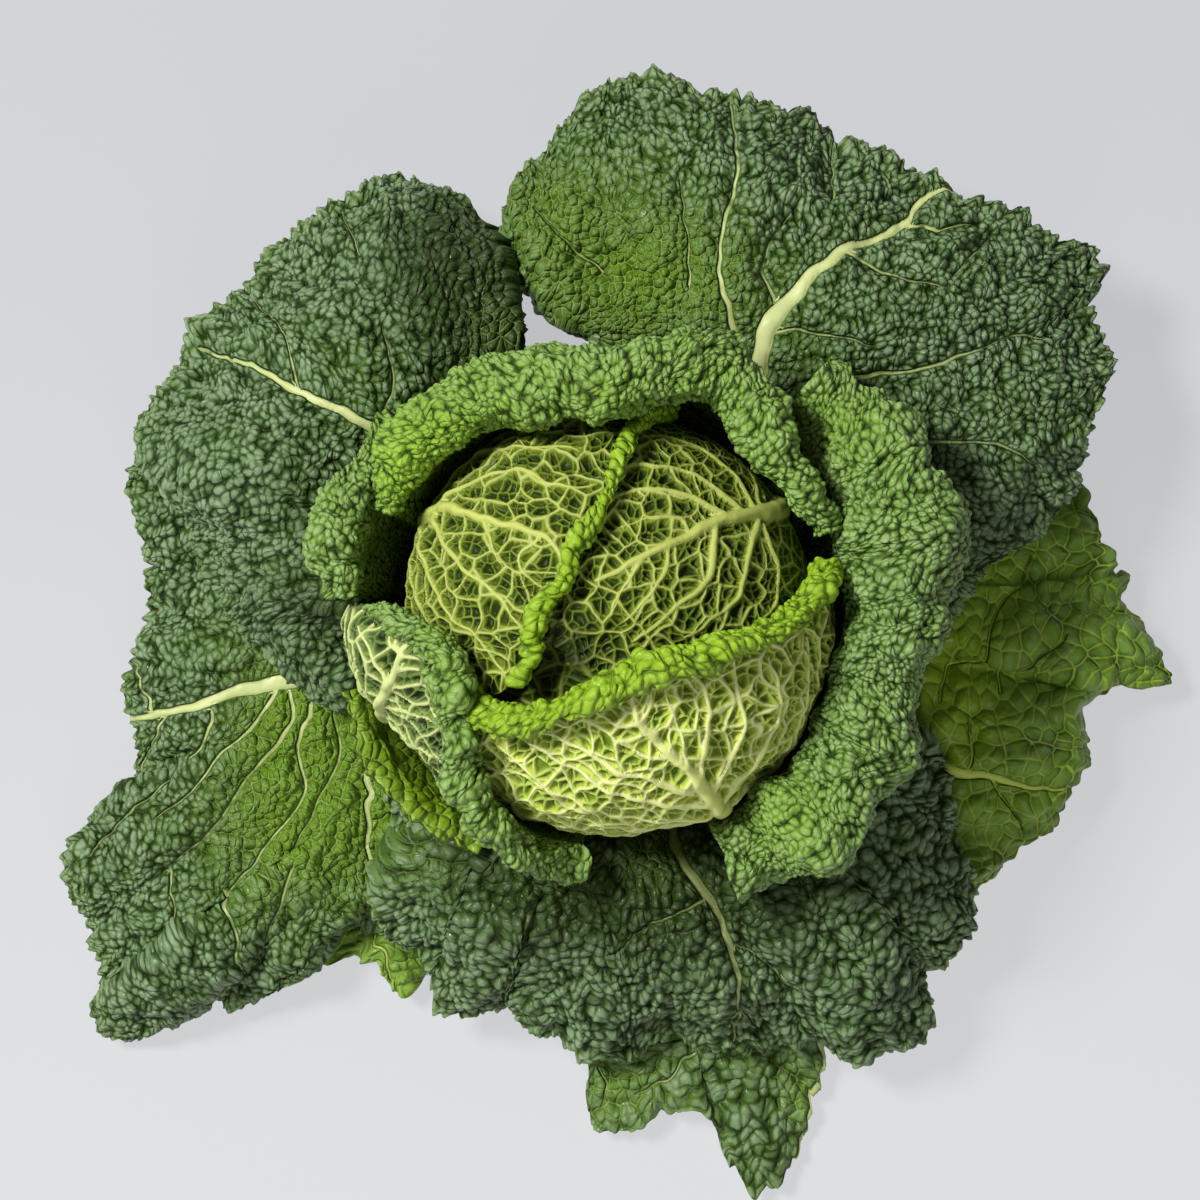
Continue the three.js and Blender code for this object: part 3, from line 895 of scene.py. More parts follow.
                # The midrib goes on down to the stump.
                down = np.linspace(0.02, 0.75, 4)[:, None]
                root = np.array([self.midrib_share(), 0.0])
                nodes = np.concatenate([mix(root, nodes[0], down), nodes])
            knots = length_shares(self.point(nodes[:, 0], nodes[:, 1]))
            at = np.linspace(0, 1, 160)
            u = curve(knots, nodes[:, 0], at)
            v = curve(knots, nodes[:, 1], at)
            line = self.point(u, v)
            run = length_shares(line)
            length = np.linalg.norm(np.diff(line, axis=0), axis=1).sum()
            even = np.linspace(0, 1, max(int(length / RIB_SAMPLE), 4))
            u, v = np.interp(even, run, u), np.interp(even, run, v)
            line = self.point(u, v)
            tangent = unit(np.gradient(line, axis=0))
            normal, _ = self.frame_at(u, v)
            seen_from = knots[4] if index == 0 else 0.0
            along = np.clip((even - seen_from) / (1 - seen_from), 0, 1)
            parts["places"].append(line)
            parts["tangents"].append(tangent)
            parts["sides"].append(unit(np.cross(normal, tangent)))
            parts["halves"].append(self.rib_growth * mix(vein.start, vein.end, along**0.7) / 2)
        self.traced = {name: np.concatenate(part) for name, part in parts.items()}

    def rib_layer(self, places: Array) -> Array:
        """Measures how places lie to the nearest rib.

        Args:
            places: points on the leaf's middle surface.

        Returns:
            For each, the distance with its side's sign, the rib's half width, and the distance.
        """
        if not self.veins:
            far = np.full(len(places), NO_RIB)
            return np.stack([far, np.zeros(len(places)), far], -1)
        batch = 4096
        lines, halves = self.traced["places"], self.traced["halves"]
        found = []
        for start in range(0, len(places), batch):
            some = places[start:start + batch]
            squares = (some * some).sum(1)[:, None] + (lines * lines).sum(1) - 2 * some @ lines.T
            nearest = np.argmin(np.sqrt(np.maximum(squares, 0)) - halves, axis=1)
            off = some - lines[nearest]
            along = np.abs((off * self.traced["tangents"][nearest]).sum(1))
            plain = np.linalg.norm(off, axis=1)
            beyond = np.maximum(along - RIB_BRIDGE, 0)
            far = np.sqrt(np.maximum(plain**2 - along**2, 0) + beyond**2)
            side = np.sign((off * self.traced["sides"][nearest]).sum(1))
            found.append(np.stack([side * far, halves[nearest], far], -1))
        return np.concatenate(found)

    def cells_at(self, flat: Array, size: float, bend: float = 0.4) -> Array:
        """Returns the places of a flat chart in cells of that size, bent by a share of a cell."""
        off = bend * noise(flat, BEND_GRAIN * size) + JITTER * noise(flat, JITTER_GRAIN * size)
        return flat / size + off * (1, 1, 0)

    def relief(self, face: Face, cells: Array, v: Array, clear: Array) -> Array:
        """Finds how far a face's own cells lift it.

        Args:
            face: the face.
            cells: its points' places in cells.
            v: their places from stump to rim.
            clear: how far each is clear of ribs and of the sheath, from 0 to 1.

        Returns:
            The lift of each point.
        """
        tint = mix(0.6, 1.35, read_pattern(Pattern.TINTS, cells)[:, 0])
        patterned = self.pattern_share(face, v)
        if face is Face.UPPER:
            return mix(1.5 * self.net_depth, self.puff * tint * clustered(cells), patterned) * clear
        fine, coarse = (read_pattern(Pattern.EDGES, cells * scale)[:, 0] for scale in (1.0, NET_SHARE))
        pit = 1 - (1 - np.minimum(coarse / 0.3, 1)) ** 2
        if self.net_cell:
            pit = smooth(0.02, 0.3, fine) * smooth(0.0, 0.2, coarse)
        ridge = 0.7 * (1 - smooth(0, 0.13, coarse)) * clear
        return (self.net_depth * tint * pit * clear - ridge) * patterned

    def rim_reach(self, u: Array, v: Array) -> Array:
        """Finds how far lobes, teeth and blisters push the rim outward.

        Args:
            u: places across the leaf.
            v: places from stump to rim.

        Returns:
            The reach of each place, beyond the drawn rim or short of it.
        """
        rim = self.point(u, np.ones_like(u))
        ragged = 0.5 * noise(rim, TOOTH_GRAIN)[:, 0] + 0.9 * noise(rim, LOBE_GRAIN)[:, 0]
        on_rim = self.chart(Face.UPPER, u, np.ones_like(u)) + PATTERN_STEP * self.layer
        on_rim = self.cells_at(flattened(on_rim), self.cell)
        beads = pebbles(on_rim) + 1.2 * pebbles(on_rim * NET_SHARE) - 1.1
        return self.rag * ragged * smooth(0.75, 1, v) + self.bead * beads * smooth(0.95, 1, v)

    def dressed(self, face: Face, weave: Weave) -> tuple[Array, dict[str, Array]]:
        """Gives one face its relief.

        Args:
            face: the face.
            weave: its points.

        Returns:
            The places of its points, and the layers that its finish reads.
        """
        u, v = weave.u, weave.v
        base = self.point(u, v)
        normal, ahead = self.frame_at(u, v)
        show = self.shown(v)
        size = self.net_cell if face is Face.UNDER and self.net_cell else self.cell
        flat = flattened(self.chart(face, u, v) + PATTERN_STEP * self.layer)
        cells = self.cells_at(flat, size, 0.4 if face is Face.UPPER else 0.6)
        stray = noise(base, STRAY_GRAIN)
        stray = stray - (stray * normal).sum(1)[:, None] * normal
        rib = self.rib_layer(base + self.stray * stray)
        half, far = rib[:, 1], rib[:, 2]
        away = np.maximum(far - half, 0)
        dome = np.sqrt(np.maximum(1 - (far / np.maximum(half, 1e-3)) ** 2, 0))
        lift = self.quilt * smooth(0, 9, away) * show + self.pleated(v, base)
        waves = self.swell * noise(base, SWELL_GRAIN)[:, 0] + self.lump * noise(base, LUMP_GRAIN)[:, 1]
        lift = lift + waves * show
        lift = lift + self.relief(face, cells, v, smooth(-0.2, 1.0, away) * show)
        thickness = mix(self.thickness, RIM_THICKNESS, smooth(0.8, 1, v))
        if face is Face.UPPER:
            lift = lift + thickness / 2 + 0.4 * half * dome
        else:
            lift = lift - thickness / 2 - half * dome
        ripple = 0.5 * noise(base, TOOTH_GRAIN)[:, 1] + 0.9 * noise(base, LOBE_GRAIN)[:, 1]
        lift = lift + self.frill * ripple * smooth(0.6, 1, v)
        lift = lift - self.curl * smooth(0.965, 1, v) ** 2
        places = base + ahead * self.rim_reach(u, v)[:, None] + normal * lift[:, None]
        places[:, 2] = np.maximum(places[:, 2], FLOOR_GAP)
        return places, {"cell_at": cells, "rib": rib, "tone_and_shade": self.tone_and_shade(base, v)}

    def tone_and_shade(self, base: Array, v: Array) -> Array:
        """Finds the colouring of places.

        Args:
            base: the places.
            v: the same, from stump to rim.

        Returns:
            How fresh, how near the rim and how deep in painted shade each place is.
        """
        seen = EYE.seen(base)

        def spread(patches: tuple[Patch, ...]) -> Array:
            """Adds up patches.

            Args:
                patches: the patches.

            Returns:
                How strongly they show at each place.
            """
            total = np.zeros(len(base))
            for patch in patches:
                off = np.linalg.norm(seen - (patch.across, patch.down), axis=1) / patch.reach
                total = total + patch.strength * np.exp(-off * off)
            return total

        drift = noise(base, DRIFT_GRAIN, 2.0)
        fresh = np.clip(self.freshness + spread(self.patches) + 0.16 * drift[:, 0], 0, 1)
        # Painted shade, from the patches where the leaf lies in shadow or in a hollow.
        in_shade = np.clip(spread(self.shade_patches) * (1 + 0.3 * drift[:, 1]), 0, 1)
        return np.stack([fresh, smooth(0.93, 1, v), in_shade], -1)

    def build(self) -> bpy.types.Object:
        """Makes the leaf as one closed shell in its two finishes, in place of its node.

        Returns:
            The piece.
        """
        if self.veins:
            self.trace()
        weaves = {face: self.weave(face) for face in Face}
        dressed = {face: self.dressed(face, weaves[face]) for face in Face}
        shift = len(weaves[Face.UPPER].u)
        faces, maps, wears = [], [], []
        for face, weave in weaves.items():
            begin = 0 if face is Face.UPPER else shift
            on_map = np.stack([mix(0.01, 0.99, weave.share), mix(*face.value, weave.climb)], -1)
            for r in range(len(weave.starts) - 2):
                a = np.arange(weave.starts[r], weave.starts[r + 1])
                b = np.arange(weave.starts[r + 1], weave.starts[r + 2])
                tris = zipped(a, weave.share[a], b, weave.share[b])
                if face is Face.UNDER:
                    tris = tris[:, ::-1]
                maps.append(on_map[tris])
                faces.append(tris + begin)
                wears.append(np.full(len(tris), 0 if face is Face.UPPER else 1))
        for tris, on_map in self.rims(weaves, shift):
            faces.append(tris)
            maps.append(on_map)
            wears.append(np.zeros(len(tris), int))
        (upper, upper_layers), (under, under_layers) = dressed.values()
        layers = {name: np.concatenate([layer, under_layers[name]]) for name, layer in upper_layers.items()}
        places = np.concatenate([upper, under])
        piece = meshed(self.name + "_leaf", places, np.concatenate(faces), layers, np.concatenate(maps))
        piece.data.materials.append(self.upper.build())
        piece.data.materials.append(self.under.build())
        piece.data.polygons.foreach_set("material_index", np.concatenate(wears).astype(np.int32))
        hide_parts(self.name)
        return piece

    def rims(self, weaves: dict[Face, Weave], shift: int) -> list[tuple[Array, Array]]:
        """Joins the two faces along the leaf's four rims.

        Args:
            weaves: the points of each face.
            shift: the number of the under face's first point.

        Returns:
            For each rim, its triangles and their places on the map.
        """
        lowest, step, width = 0.318, 0.009, 0.006  # the strips that the rims take on the map
        upper, under = weaves[Face.UPPER], weaves[Face.UNDER]
        last = (np.arange(upper.starts[-2], upper.starts[-1]), np.arange(under.starts[-2], under.starts[-1]))
        first = (np.arange(upper.starts[1]), np.arange(under.starts[1]))
        left = (upper.starts[:-1], under.starts[:-1])
        right = (upper.starts[1:] - 1, under.starts[1:] - 1)
        made = []
        for band, ((top, bottom), by_share, flip) in enumerate(
            [(last, True, False), (first, True, True), (left, False, False), (right, False, True)]
        ):
            top_at = upper.share[top] if by_share else upper.climb[top]
            bottom_at = under.share[bottom] if by_share else under.climb[bottom]
            level = lowest + step * band
            at = np.zeros((shift + len(under.u), 2))
            rows = [(top, top_at, level), (bottom + shift, bottom_at, level + width)]
            for row, row_at, height in rows:
                at[row] = np.stack([mix(0.01, 0.99, row_at), np.full(len(row), height)], -1)
            low, high = reversed(rows) if flip else rows
            tris = zipped(*low[:2], *high[:2])
            made.append((tris, at[tris]))
        return made


def meshed(name: str, places: Array, faces: Array, layers: dict[str, Array],
           on_map: Array) -> bpy.types.Object:
    """Makes a mesh that rides on the part.

    Args:
        name: the piece's name.
        places: its points, in millimetres.
        faces: three points for each triangle.
        layers: vectors for each point, by name.
        on_map: for each triangle's corners, their places on the map that a bake uses.

    Returns:
        The piece.
    """
    mesh = bpy.data.meshes.new(name)
    mesh.vertices.add(len(places))
    mesh.vertices.foreach_set("co", (places * MM).astype(np.float32).ravel())
    mesh.loops.add(faces.size)
    mesh.loops.foreach_set("vertex_index", faces.astype(np.int32).ravel())
    mesh.polygons.add(len(faces))
    mesh.polygons.foreach_set("loop_start", np.arange(0, faces.size, 3, dtype=np.int32))
    mesh.polygons.foreach_set("use_smooth", np.ones(len(faces), bool))
    for layer, vectors in layers.items():
        stored = mesh.attributes.new(layer, "FLOAT_VECTOR", "POINT")
        stored.data.foreach_set("vector", vectors.astype(np.float32).ravel())
    mesh.uv_layers.new(name="OFBake").uv.foreach_set("vector", on_map.astype(np.float32).ravel())
    mesh.update(calc_edges=True)
    piece = bpy.data.objects.new(name, mesh)
    bpy.context.scene.collection.objects.link(piece)
    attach(piece, "root")
    return piece


@dataclass(kw_only=True)
class WrappedLeaf(Leaf):
    """A leaf that hugs the head up to its fold line and rolls outward from there.

    Each station across it is the azimuth, the angle from straight down, the distance outside
    the heart and the curl radius of the fold line.
    """

    stations: tuple[tuple[float, float, float, float], ...]
    belly: float
    turn: float
    hem: float
    tilt: float = 0.0
    seen_from: float = 0.5  # share of the way to the fold line where the leaf comes into view
    ball_spacing: float = 2.0
    roll_spacing: float = 0.9
    ribs_on_roll: bool = False
    uneven: float = 0.0  # degrees that the fold line strays by
    wobbles: float = 3.0
    crowned: bool = False  # True for a leaf that closes over the head
    bulge: tuple[float, float, float] = (0.0, 1.0, 0.0)  # azimuth, spread and reach of a swelling

    def wobble(self, u: Array) -> Array:
        """Returns how unevenly the rim runs, from about -1 to 1."""
        beat = 2 * np.pi * self.wobbles * u + self.layer
        return 0.6 * np.sin(beat) + 0.4 * np.sin(2.4 * beat + 1)

    @property
    def roll_share(self) -> float:
        """Works out the share of v that the rolled rim takes.

        Returns:
            The share.
        """
        mean_curl = sum(station[3] for station in self.stations) / len(self.stations)
        rolled = mean_curl * math.radians(self.turn) + self.hem
        return min(max(rolled / (rolled + 2 * CORE.radius), 0.15), 0.42)

    @property
    def fold_at(self) -> float:
        """Returns the v of the fold line."""
        return 1 - self.roll_share

    def midrib_share(self) -> float:
        """Returns the u at which the midrib leaves the stump."""
        first, last = self.stations[0][0], self.stations[-1][0]
        return (self.midrib - first) / (last - first)

    def point(self, u: Array, v: Array) -> Array:
        """Finds points of the leaf's middle surface.

        Args:
            u: places across the leaf.
            v: places from stump to rim.

        Returns:
            The points.
        """
        table = np.array(self.stations)
        azimuth = mix(table[0, 0], table[-1, 0], u)
        fold, stand_out, curl = (curve(table[:, 0], table[:, k], azimuth) for k in (1, 2, 3))
        fold = np.radians(fold + self.uneven * self.wobble(u))
        curl = curl * (1 + 0.05 * self.uneven * self.wobble(1 - 0.7 * u))
        base = CORE.base_polar(self.layer)
        polar = mix(base, fold, np.minimum(v / self.fold_at, 1))
        ones = np.ones_like(fold)
        knots = np.stack([base * ones, mix(base, fold, 0.32), mix(base, fold, 0.68), fold], -1)
        bulge_at, bulge_spread, bulge_reach = self.bulge
        belly = self.belly + bulge_reach * np.exp(-(((azimuth - bulge_at) / bulge_spread) ** 2))
        stands = np.stack([CORE.squeeze * self.layer * ones, self.layer * ones, belly, stand_out], -1)
        stand = curve(knots, stands, polar)
        level = heading(np.radians(azimuth))
        out = np.concatenate([np.sin(polar)[..., None] * level, -np.cos(polar)[..., None]], -1)
        ahead = np.concatenate([np.cos(polar)[..., None] * level, np.sin(polar)[..., None]], -1)
        if self.tilt:
            about = math.radians(self.midrib)
            axis = np.array([math.sin(about), -math.cos(about), 0.0])
            out, ahead = (turned(way, axis, math.radians(self.tilt)) for way in (out, ahead))
        reach = CORE.reach(np.arccos(np.clip(-out[..., 2], -1, 1))) + stand
        turn = math.radians(self.turn)
        run = np.maximum(v - self.fold_at, 0) / self.roll_share * (curl * turn + self.hem)
        bend = np.minimum(run / curl, turn)
        straight = np.maximum(run - curl * turn, 0)
        ahead_by = curl * np.sin(bend) + straight * np.cos(bend)
        out_by = curl * (1 - np.cos(bend)) + straight * np.sin(bend)
        place = out * (reach + out_by)[..., None] + ahead * ahead_by[..., None]
        return place + np.array([0, 0, CORE.centre])

    def chart(self, face: Face, u: Array, v: Array) -> Array:
        """Lays one face out flat: the roll as a strip, and the net over the head's crown or side.

        Args:
            face: the face.
            u: places across the leaf.
            v: places from stump to rim.

        Returns:
            The two flat coordinates of each place.
        """
        if face is Face.UPPER:
            samples = np.linspace(0, 1, 257)
            run = run_along(self.point(samples, np.full(len(samples), self.fold_at + 0.5 * self.roll_share)))
            table = np.array(self.stations)
            curl = curve(table[:, 0], table[:, 3], mix(table[0, 0], table[-1, 0], u))
            skin = curl + 0.5 * self.thickness + 0.6 * self.puff  # the roll's outer radius
            rolled = (v - self.fold_at) / self.roll_share * (skin * math.radians(self.turn) + self.hem)
            return np.stack([np.interp(u, samples, run), rolled], -1)
        off = self.point(u, v) - np.array([0, 0, CORE.centre])
        azimuth = np.arctan2(off[:, 1], off[:, 0])
        if self.crowned:
            angle = np.arccos(off[:, 2] / np.linalg.norm(off, axis=1))
            return CORE.radius * angle[:, None] * heading(azimuth)
        azimuth = azimuth - 2 * np.pi * np.round((azimuth - math.radians(self.midrib)) / (2 * np.pi))
        return np.stack([(CORE.radius + self.layer) * azimuth, off[:, 2]], -1)

    def pattern_share(self, face: Face, v: Array) -> Array:
        """Returns how far a face shows its own cells: the upper on the roll, the under below it."""
        rolled = smooth(self.fold_at - 0.04, self.fold_at + 0.02, v)
        return rolled if face is Face.UPPER else 1 - smooth(self.fold_at, self.fold_at + 0.06, v)

    def ribs_on(self) -> tuple[float, float]:
        """Returns the stretch of v that the drawn ribs lie on."""
        return (self.fold_at, 1.0) if self.ribs_on_roll else (0.25, self.fold_at)

    def shown(self, v: Array) -> Array:
        """Returns how much of the relief a place has, from 0 in the sheath to 1 in the open."""
        return smooth(0.35 * self.fold_at, 0.6 * self.fold_at, v)

    def spacing(self, face: Face) -> tuple[tuple[float, ...], tuple[float, ...]]:
        """Chooses how closely points are woven.

        Args:
            face: the face.

        Returns:
            Places along v, and the distance between points at each.
        """
        fold_at = self.fold_at
        if face is Face.UPPER:
            return ((0.0, fold_at - 0.03, fold_at + 0.02, 1.0),
                    (5.0, 4.0, self.roll_spacing, self.roll_spacing))
        opens = self.seen_from * fold_at
        return ((0.0, opens - 0.08, opens, fold_at, fold_at + 0.04, 1.0),
                (6.0, 3.5, self.ball_spacing, self.ball_spacing, 2.4, 2.2))


@dataclass(kw_only=True)
class SpreadLeaf(Leaf):
    """A leaf that leaves the head's underside and spreads over an arch to its rim.

    The rim is points across, back and up. leave is the angle where the leaf leaves the head,
    arch holds the share of the way from there to the rim and the height of two points, and
    side is how much lower the arch is at the leaf's two sides.
    """

    rim: tuple[tuple[float, float, float], ...]
    leave: float
    arch: tuple[tuple[float, float], ...]
    side: float
    ruffle: float
    waves: float
    hug: float = 0.55  # share of that angle up to which it hugs the head
    pleat: float = 5.0
    pleat_sizes: tuple[float, float] = (5.5, 90.0)  # folds a radian, and their length
    open_spacing: float = 0.94
    curl: float = 2.4
    opens: float = 0.12  # how far beyond the sheath the leaf comes into view, as a share of v

    def __post_init__(self) -> None:
        """Works out the rim's places and the leaf's profile."""
        rim = np.array(self.rim, float)
        self.knots = length_shares(rim[:, :2])
        turns = self.azimuth_from(rim[:, 0], rim[:, 1])
        self.half_width = np.abs(turns).max()
        self.nearest = int(np.argmin(np.abs(turns)))
        back = rim[int(np.argmax(turns)):][::-1]  # where the rim turns back towards the head
        self.waist = np.hypot(back[:, 0], back[:, 1]), self.azimuth_from(back[:, 0], back[:, 1])
        reach = CORE.radius + self.layer
        leave = math.radians(self.leave)
        hug = self.hug * leave
        end = rim[self.nearest]
        end_at = (math.hypot(end[0], end[1]), end[2])
        leave_at = (reach * math.sin(leave), CORE.centre - reach * math.cos(leave))
        arch_at = [(mix(leave_at[0], end_at[0], share), height) for share, height in self.arch]
        hug_at = (reach * math.sin(hug), CORE.centre - reach * math.cos(hug))
        base_at = (CORE.stump_radius, CORE.centre - CORE.half_height - CORE.squeeze * self.layer)
        self.shares = length_shares(np.array([base_at, hug_at, leave_at, *arch_at, end_at]))

    def azimuth_from(self, x: Array, y: Array) -> Array:
        """Returns the angle of a place round the axis from the midrib, between -pi and pi."""
        off = np.arctan2(y, x) - math.radians(self.midrib)
        return off - 2 * np.pi * np.round(off / (2 * np.pi))

    def midrib_share(self) -> float:
        """Returns the u at which the midrib leaves the stump."""
        return float(self.knots[self.nearest])

    def point(self, u: Array, v: Array) -> Array:
        """Finds points of the leaf's middle surface.

        Args:
            u: places across the leaf.
            v: places from stump to rim.

        Returns:
            The points.
        """
        rim = np.array(self.rim, float)
        x, y, rim_height = (curve(self.knots, rim[:, k], u) for k in range(3))
        off = self.azimuth_from(x, y)
        ones = np.ones_like(x)
        radii, heights = [], []
        for polar, layer in (
            (CORE.base_polar(self.layer), CORE.squeeze * self.layer),
            (math.radians(self.hug * self.leave), self.layer),
            (math.radians(self.leave), self.layer),
        ):
            reach = CORE.reach(polar) + layer
            radii.append(reach * math.sin(polar) * ones)
            heights.append((CORE.centre - reach * math.cos(polar)) * ones)
        leave_radius = radii[2]
        rim_radius = np.maximum(np.hypot(x, y), leave_radius + 4)
        for share, height in self.arch:
            radius = mix(leave_radius, rim_radius, share)
            radii.append(radius)
            lowered = height - self.side * (off / self.half_width) ** 2
            heights.append(np.minimum(lowered, CORE.clear_height(radius, self.layer)))
        radii = np.stack([*radii, rim_radius], -1)
        heights = np.stack([*heights, rim_height], -1)
        beat = 2 * np.pi * self.waves * u
        wave = self.ruffle * v**4 * (np.sin(beat + self.midrib) + 0.5 * np.sin(2.6 * beat))
        radius = curve(self.shares, radii, v)
        waist = np.interp(radius, *self.waist) / np.interp(rim_radius, *self.waist)
        spread = mix(0.55, 1.0, smooth(0, 0.45, v)) * mix(1.0, waist, smooth(0, 0.3, off))
        azimuth = math.radians(self.midrib) + off * spread
        height = np.maximum(curve(self.shares, heights, v) + wave, CORE.lowest)
        return np.stack([radius * np.cos(azimuth), radius * np.sin(azimuth), height], -1)

    def chart(self, face: Face, u: Array, v: Array) -> Array:
        """Lays the leaf out flat by the angle round the axis and the length along the leaf.

        Args:
            face: the face; both are laid out alike.
            u: places across the leaf.
            v: places from stump to rim.

        Returns:
            The two flat coordinates of each place.
        """
        grid = 97
        samples = np.linspace(0, 1, grid)
        run = run_along(self.point(*np.meshgrid(samples, samples)).swapaxes(0, 1)).T
        column = np.minimum((u * (grid - 1)).astype(int), grid - 2)
        row = np.minimum((v * (grid - 1)).astype(int), grid - 2)
        over, up = u * (grid - 1) - column, v * (grid - 1) - row
        low = mix(run[row, column], run[row, column + 1], over)
        high = mix(run[row + 1, column], run[row + 1, column + 1], over)
        place = self.point(u, v)
        return mix(low, high, up)[:, None] * heading(np.arctan2(place[:, 1], place[:, 0]))

    def pleated(self, v: Array, base: Array) -> Array:
        """Folds the leaf from the head to the rim.

        Args:
            v: places from stump to rim.
            base: the same on the middle surface.

        Returns:
            How far the folds lift each place.
        """
        turn_size, run_size = self.pleat_sizes
        along = np.hypot(base[:, 0], base[:, 1]) / run_size + self.layer
        folded = np.column_stack([turn_size * heading(np.arctan2(base[:, 1], base[:, 0])), along])
        return self.pleat * noise(folded, 1.0)[:, 0] * smooth(self.shares[2], 0.9, v)

    def shown(self, v: Array) -> Array:
        """Returns how much of the relief a place has, from 0 in the sheath to 1 in the open."""
        return smooth(self.shares[2] - 0.02, self.shares[2] + 0.12, v)

    def spacing(self, face: Face) -> tuple[tuple[float, ...], tuple[float, ...]]:
        """Chooses how closely points are woven.

        Args:
            face: the face.

        Returns:
            Places along v, and the distance between points at each.
        """
        leave = self.shares[2]
        if face is Face.UPPER:
            return ((0.0, leave - 0.04, leave + self.opens - 0.06, leave + self.opens, 1.0),
                    (8.0, 6.0, 2.6, self.open_spacing, self.open_spacing))
        return (0.0, leave - 0.04, leave + 0.06, 1.0), (4.0, 3.4, 2.7, 2.3)


# ---- The cabbage's own finishes -----------------------------------------------------------------

HEAD_UPPER = UpperFinish(
    "head rim", deep=paint(126, 164, 34), fresh=paint(158, 196, 40), bloom_and_sheen=paint(176, 206, 92),
    crease_shade=paint(68, 100, 8), rib=paint(196, 208, 110), rim=paint(150, 178, 60), bloom_and_sheen_amount=0.35,
    fresh_crease_shade=0.9, fresh_vein=0.0,
)
HEAD_UNDER = UnderFinish("head net")
FRONT_UNDER = UnderFinish(
    "front net", pit=paint(104, 128, 32), blade=paint(182, 206, 88), fine_net=paint(220, 232, 132),
    net=paint(240, 246, 168), rib=paint(236, 244, 140), flush=paint(212, 228, 84),
)
COLLAR_UPPER = UpperFinish(
    "collar face", deep=paint(100, 136, 56), fresh=paint(150, 192, 52), bloom_and_sheen=paint(168, 194, 132),
    crease_shade=paint(22, 38, 8), rib=paint(190, 202, 138), rim=paint(130, 164, 70), fresh_crease_shade=1.0,
    fresh_vein=0.0,
)
COLLAR_UNDER = UnderFinish(
    "collar back", pit=paint(26, 42, 12), blade=paint(86, 112, 50), fine_net=paint(152, 174, 100),
    net=paint(208, 220, 146), rib=paint(214, 222, 148), flush=paint(150, 170, 84),
)
OUTER_UPPER = UpperFinish("outer face")
OUTER_UNDER = UnderFinish(
    "outer back", pit=paint(66, 92, 58), blade=paint(104, 130, 84), net=paint(168, 186, 134),
    rib=paint(200, 210, 156), flush=paint(126, 150, 92), roughness=0.52,
)
EAST_UPPER = UpperFinish(
    "east face", deep=paint(98, 136, 46), fresh=paint(138, 174, 24), bloom_and_sheen=paint(150, 180, 110),
    crease_shade=paint(42, 66, 14), rib=paint(214, 230, 104), rim=paint(100, 130, 50), bloom_and_sheen_amount=0.3,
    vein_light=0.85, vein_least=0.5,
)
FRESH_UPPER = UpperFinish(
    "fresh face", deep=paint(96, 134, 42), fresh=paint(132, 170, 24), bloom_and_sheen=paint(140, 172, 84),
    crease_shade=paint(58, 88, 8), rib=paint(214, 224, 130), rim=paint(150, 184, 70), bloom_and_sheen_amount=0.3, vein_light=0.3,
)


# ---- The cabbage's kinds of leaf -----------------------------------------------------------------


@dataclass(kw_only=True)
class HeadLeaf(WrappedLeaf):
    """A leaf that closes over the head and shows its net-veined back."""

    slot: str = "head_leaf"
    upper: UpperFinish = HEAD_UPPER
    under: UnderFinish = HEAD_UNDER
    quilt: float = 1.0
    swell: float = 0.9
    rag: float = 1.5
    frill: float = 1.2
    net_depth: float = 1.9
    rib_growth: float = 1.25
    seen_from: float = 0.4
    ball_spacing: float = 0.85
    crowned: bool = True


@dataclass(kw_only=True)
class CollarLeaf(WrappedLeaf):
    """A leaf round the head, whose rim rolls outward in a thick blistered band."""

    slot: str = "collar_leaf"
    upper: UpperFinish = COLLAR_UPPER
    under: UnderFinish = COLLAR_UNDER
    cell: float = 3.0
    puff: float = 2.3
    freshness: float = 0.35
    quilt: float = 0.6
    ribs_on_roll: bool = True


@dataclass(kw_only=True)
class OuterLeaf(SpreadLeaf):
    """A big spread leaf."""

    slot: str = "outer_leaf"
    upper: UpperFinish = OUTER_UPPER
    under: UnderFinish = OUTER_UNDER


@dataclass(kw_only=True)
class LowestLeaf(OuterLeaf):
    """A leaf under the others, of which only the end shows."""

    slot: str = "fresh_leaf"
    layer: float = 33
    leave: float = 34
    arch: tuple[tuple[float, float], ...] = ((0.4, 19), (0.7, 17))
    ruffle: float = 1.5
    waves: float = 3
    puff: float = 1.3
    freshness: float = 0.3
    opens: float = 0.45
    curl: float = 0.8


# ---- The cabbage's leaves ------------------------------------------------------------------------

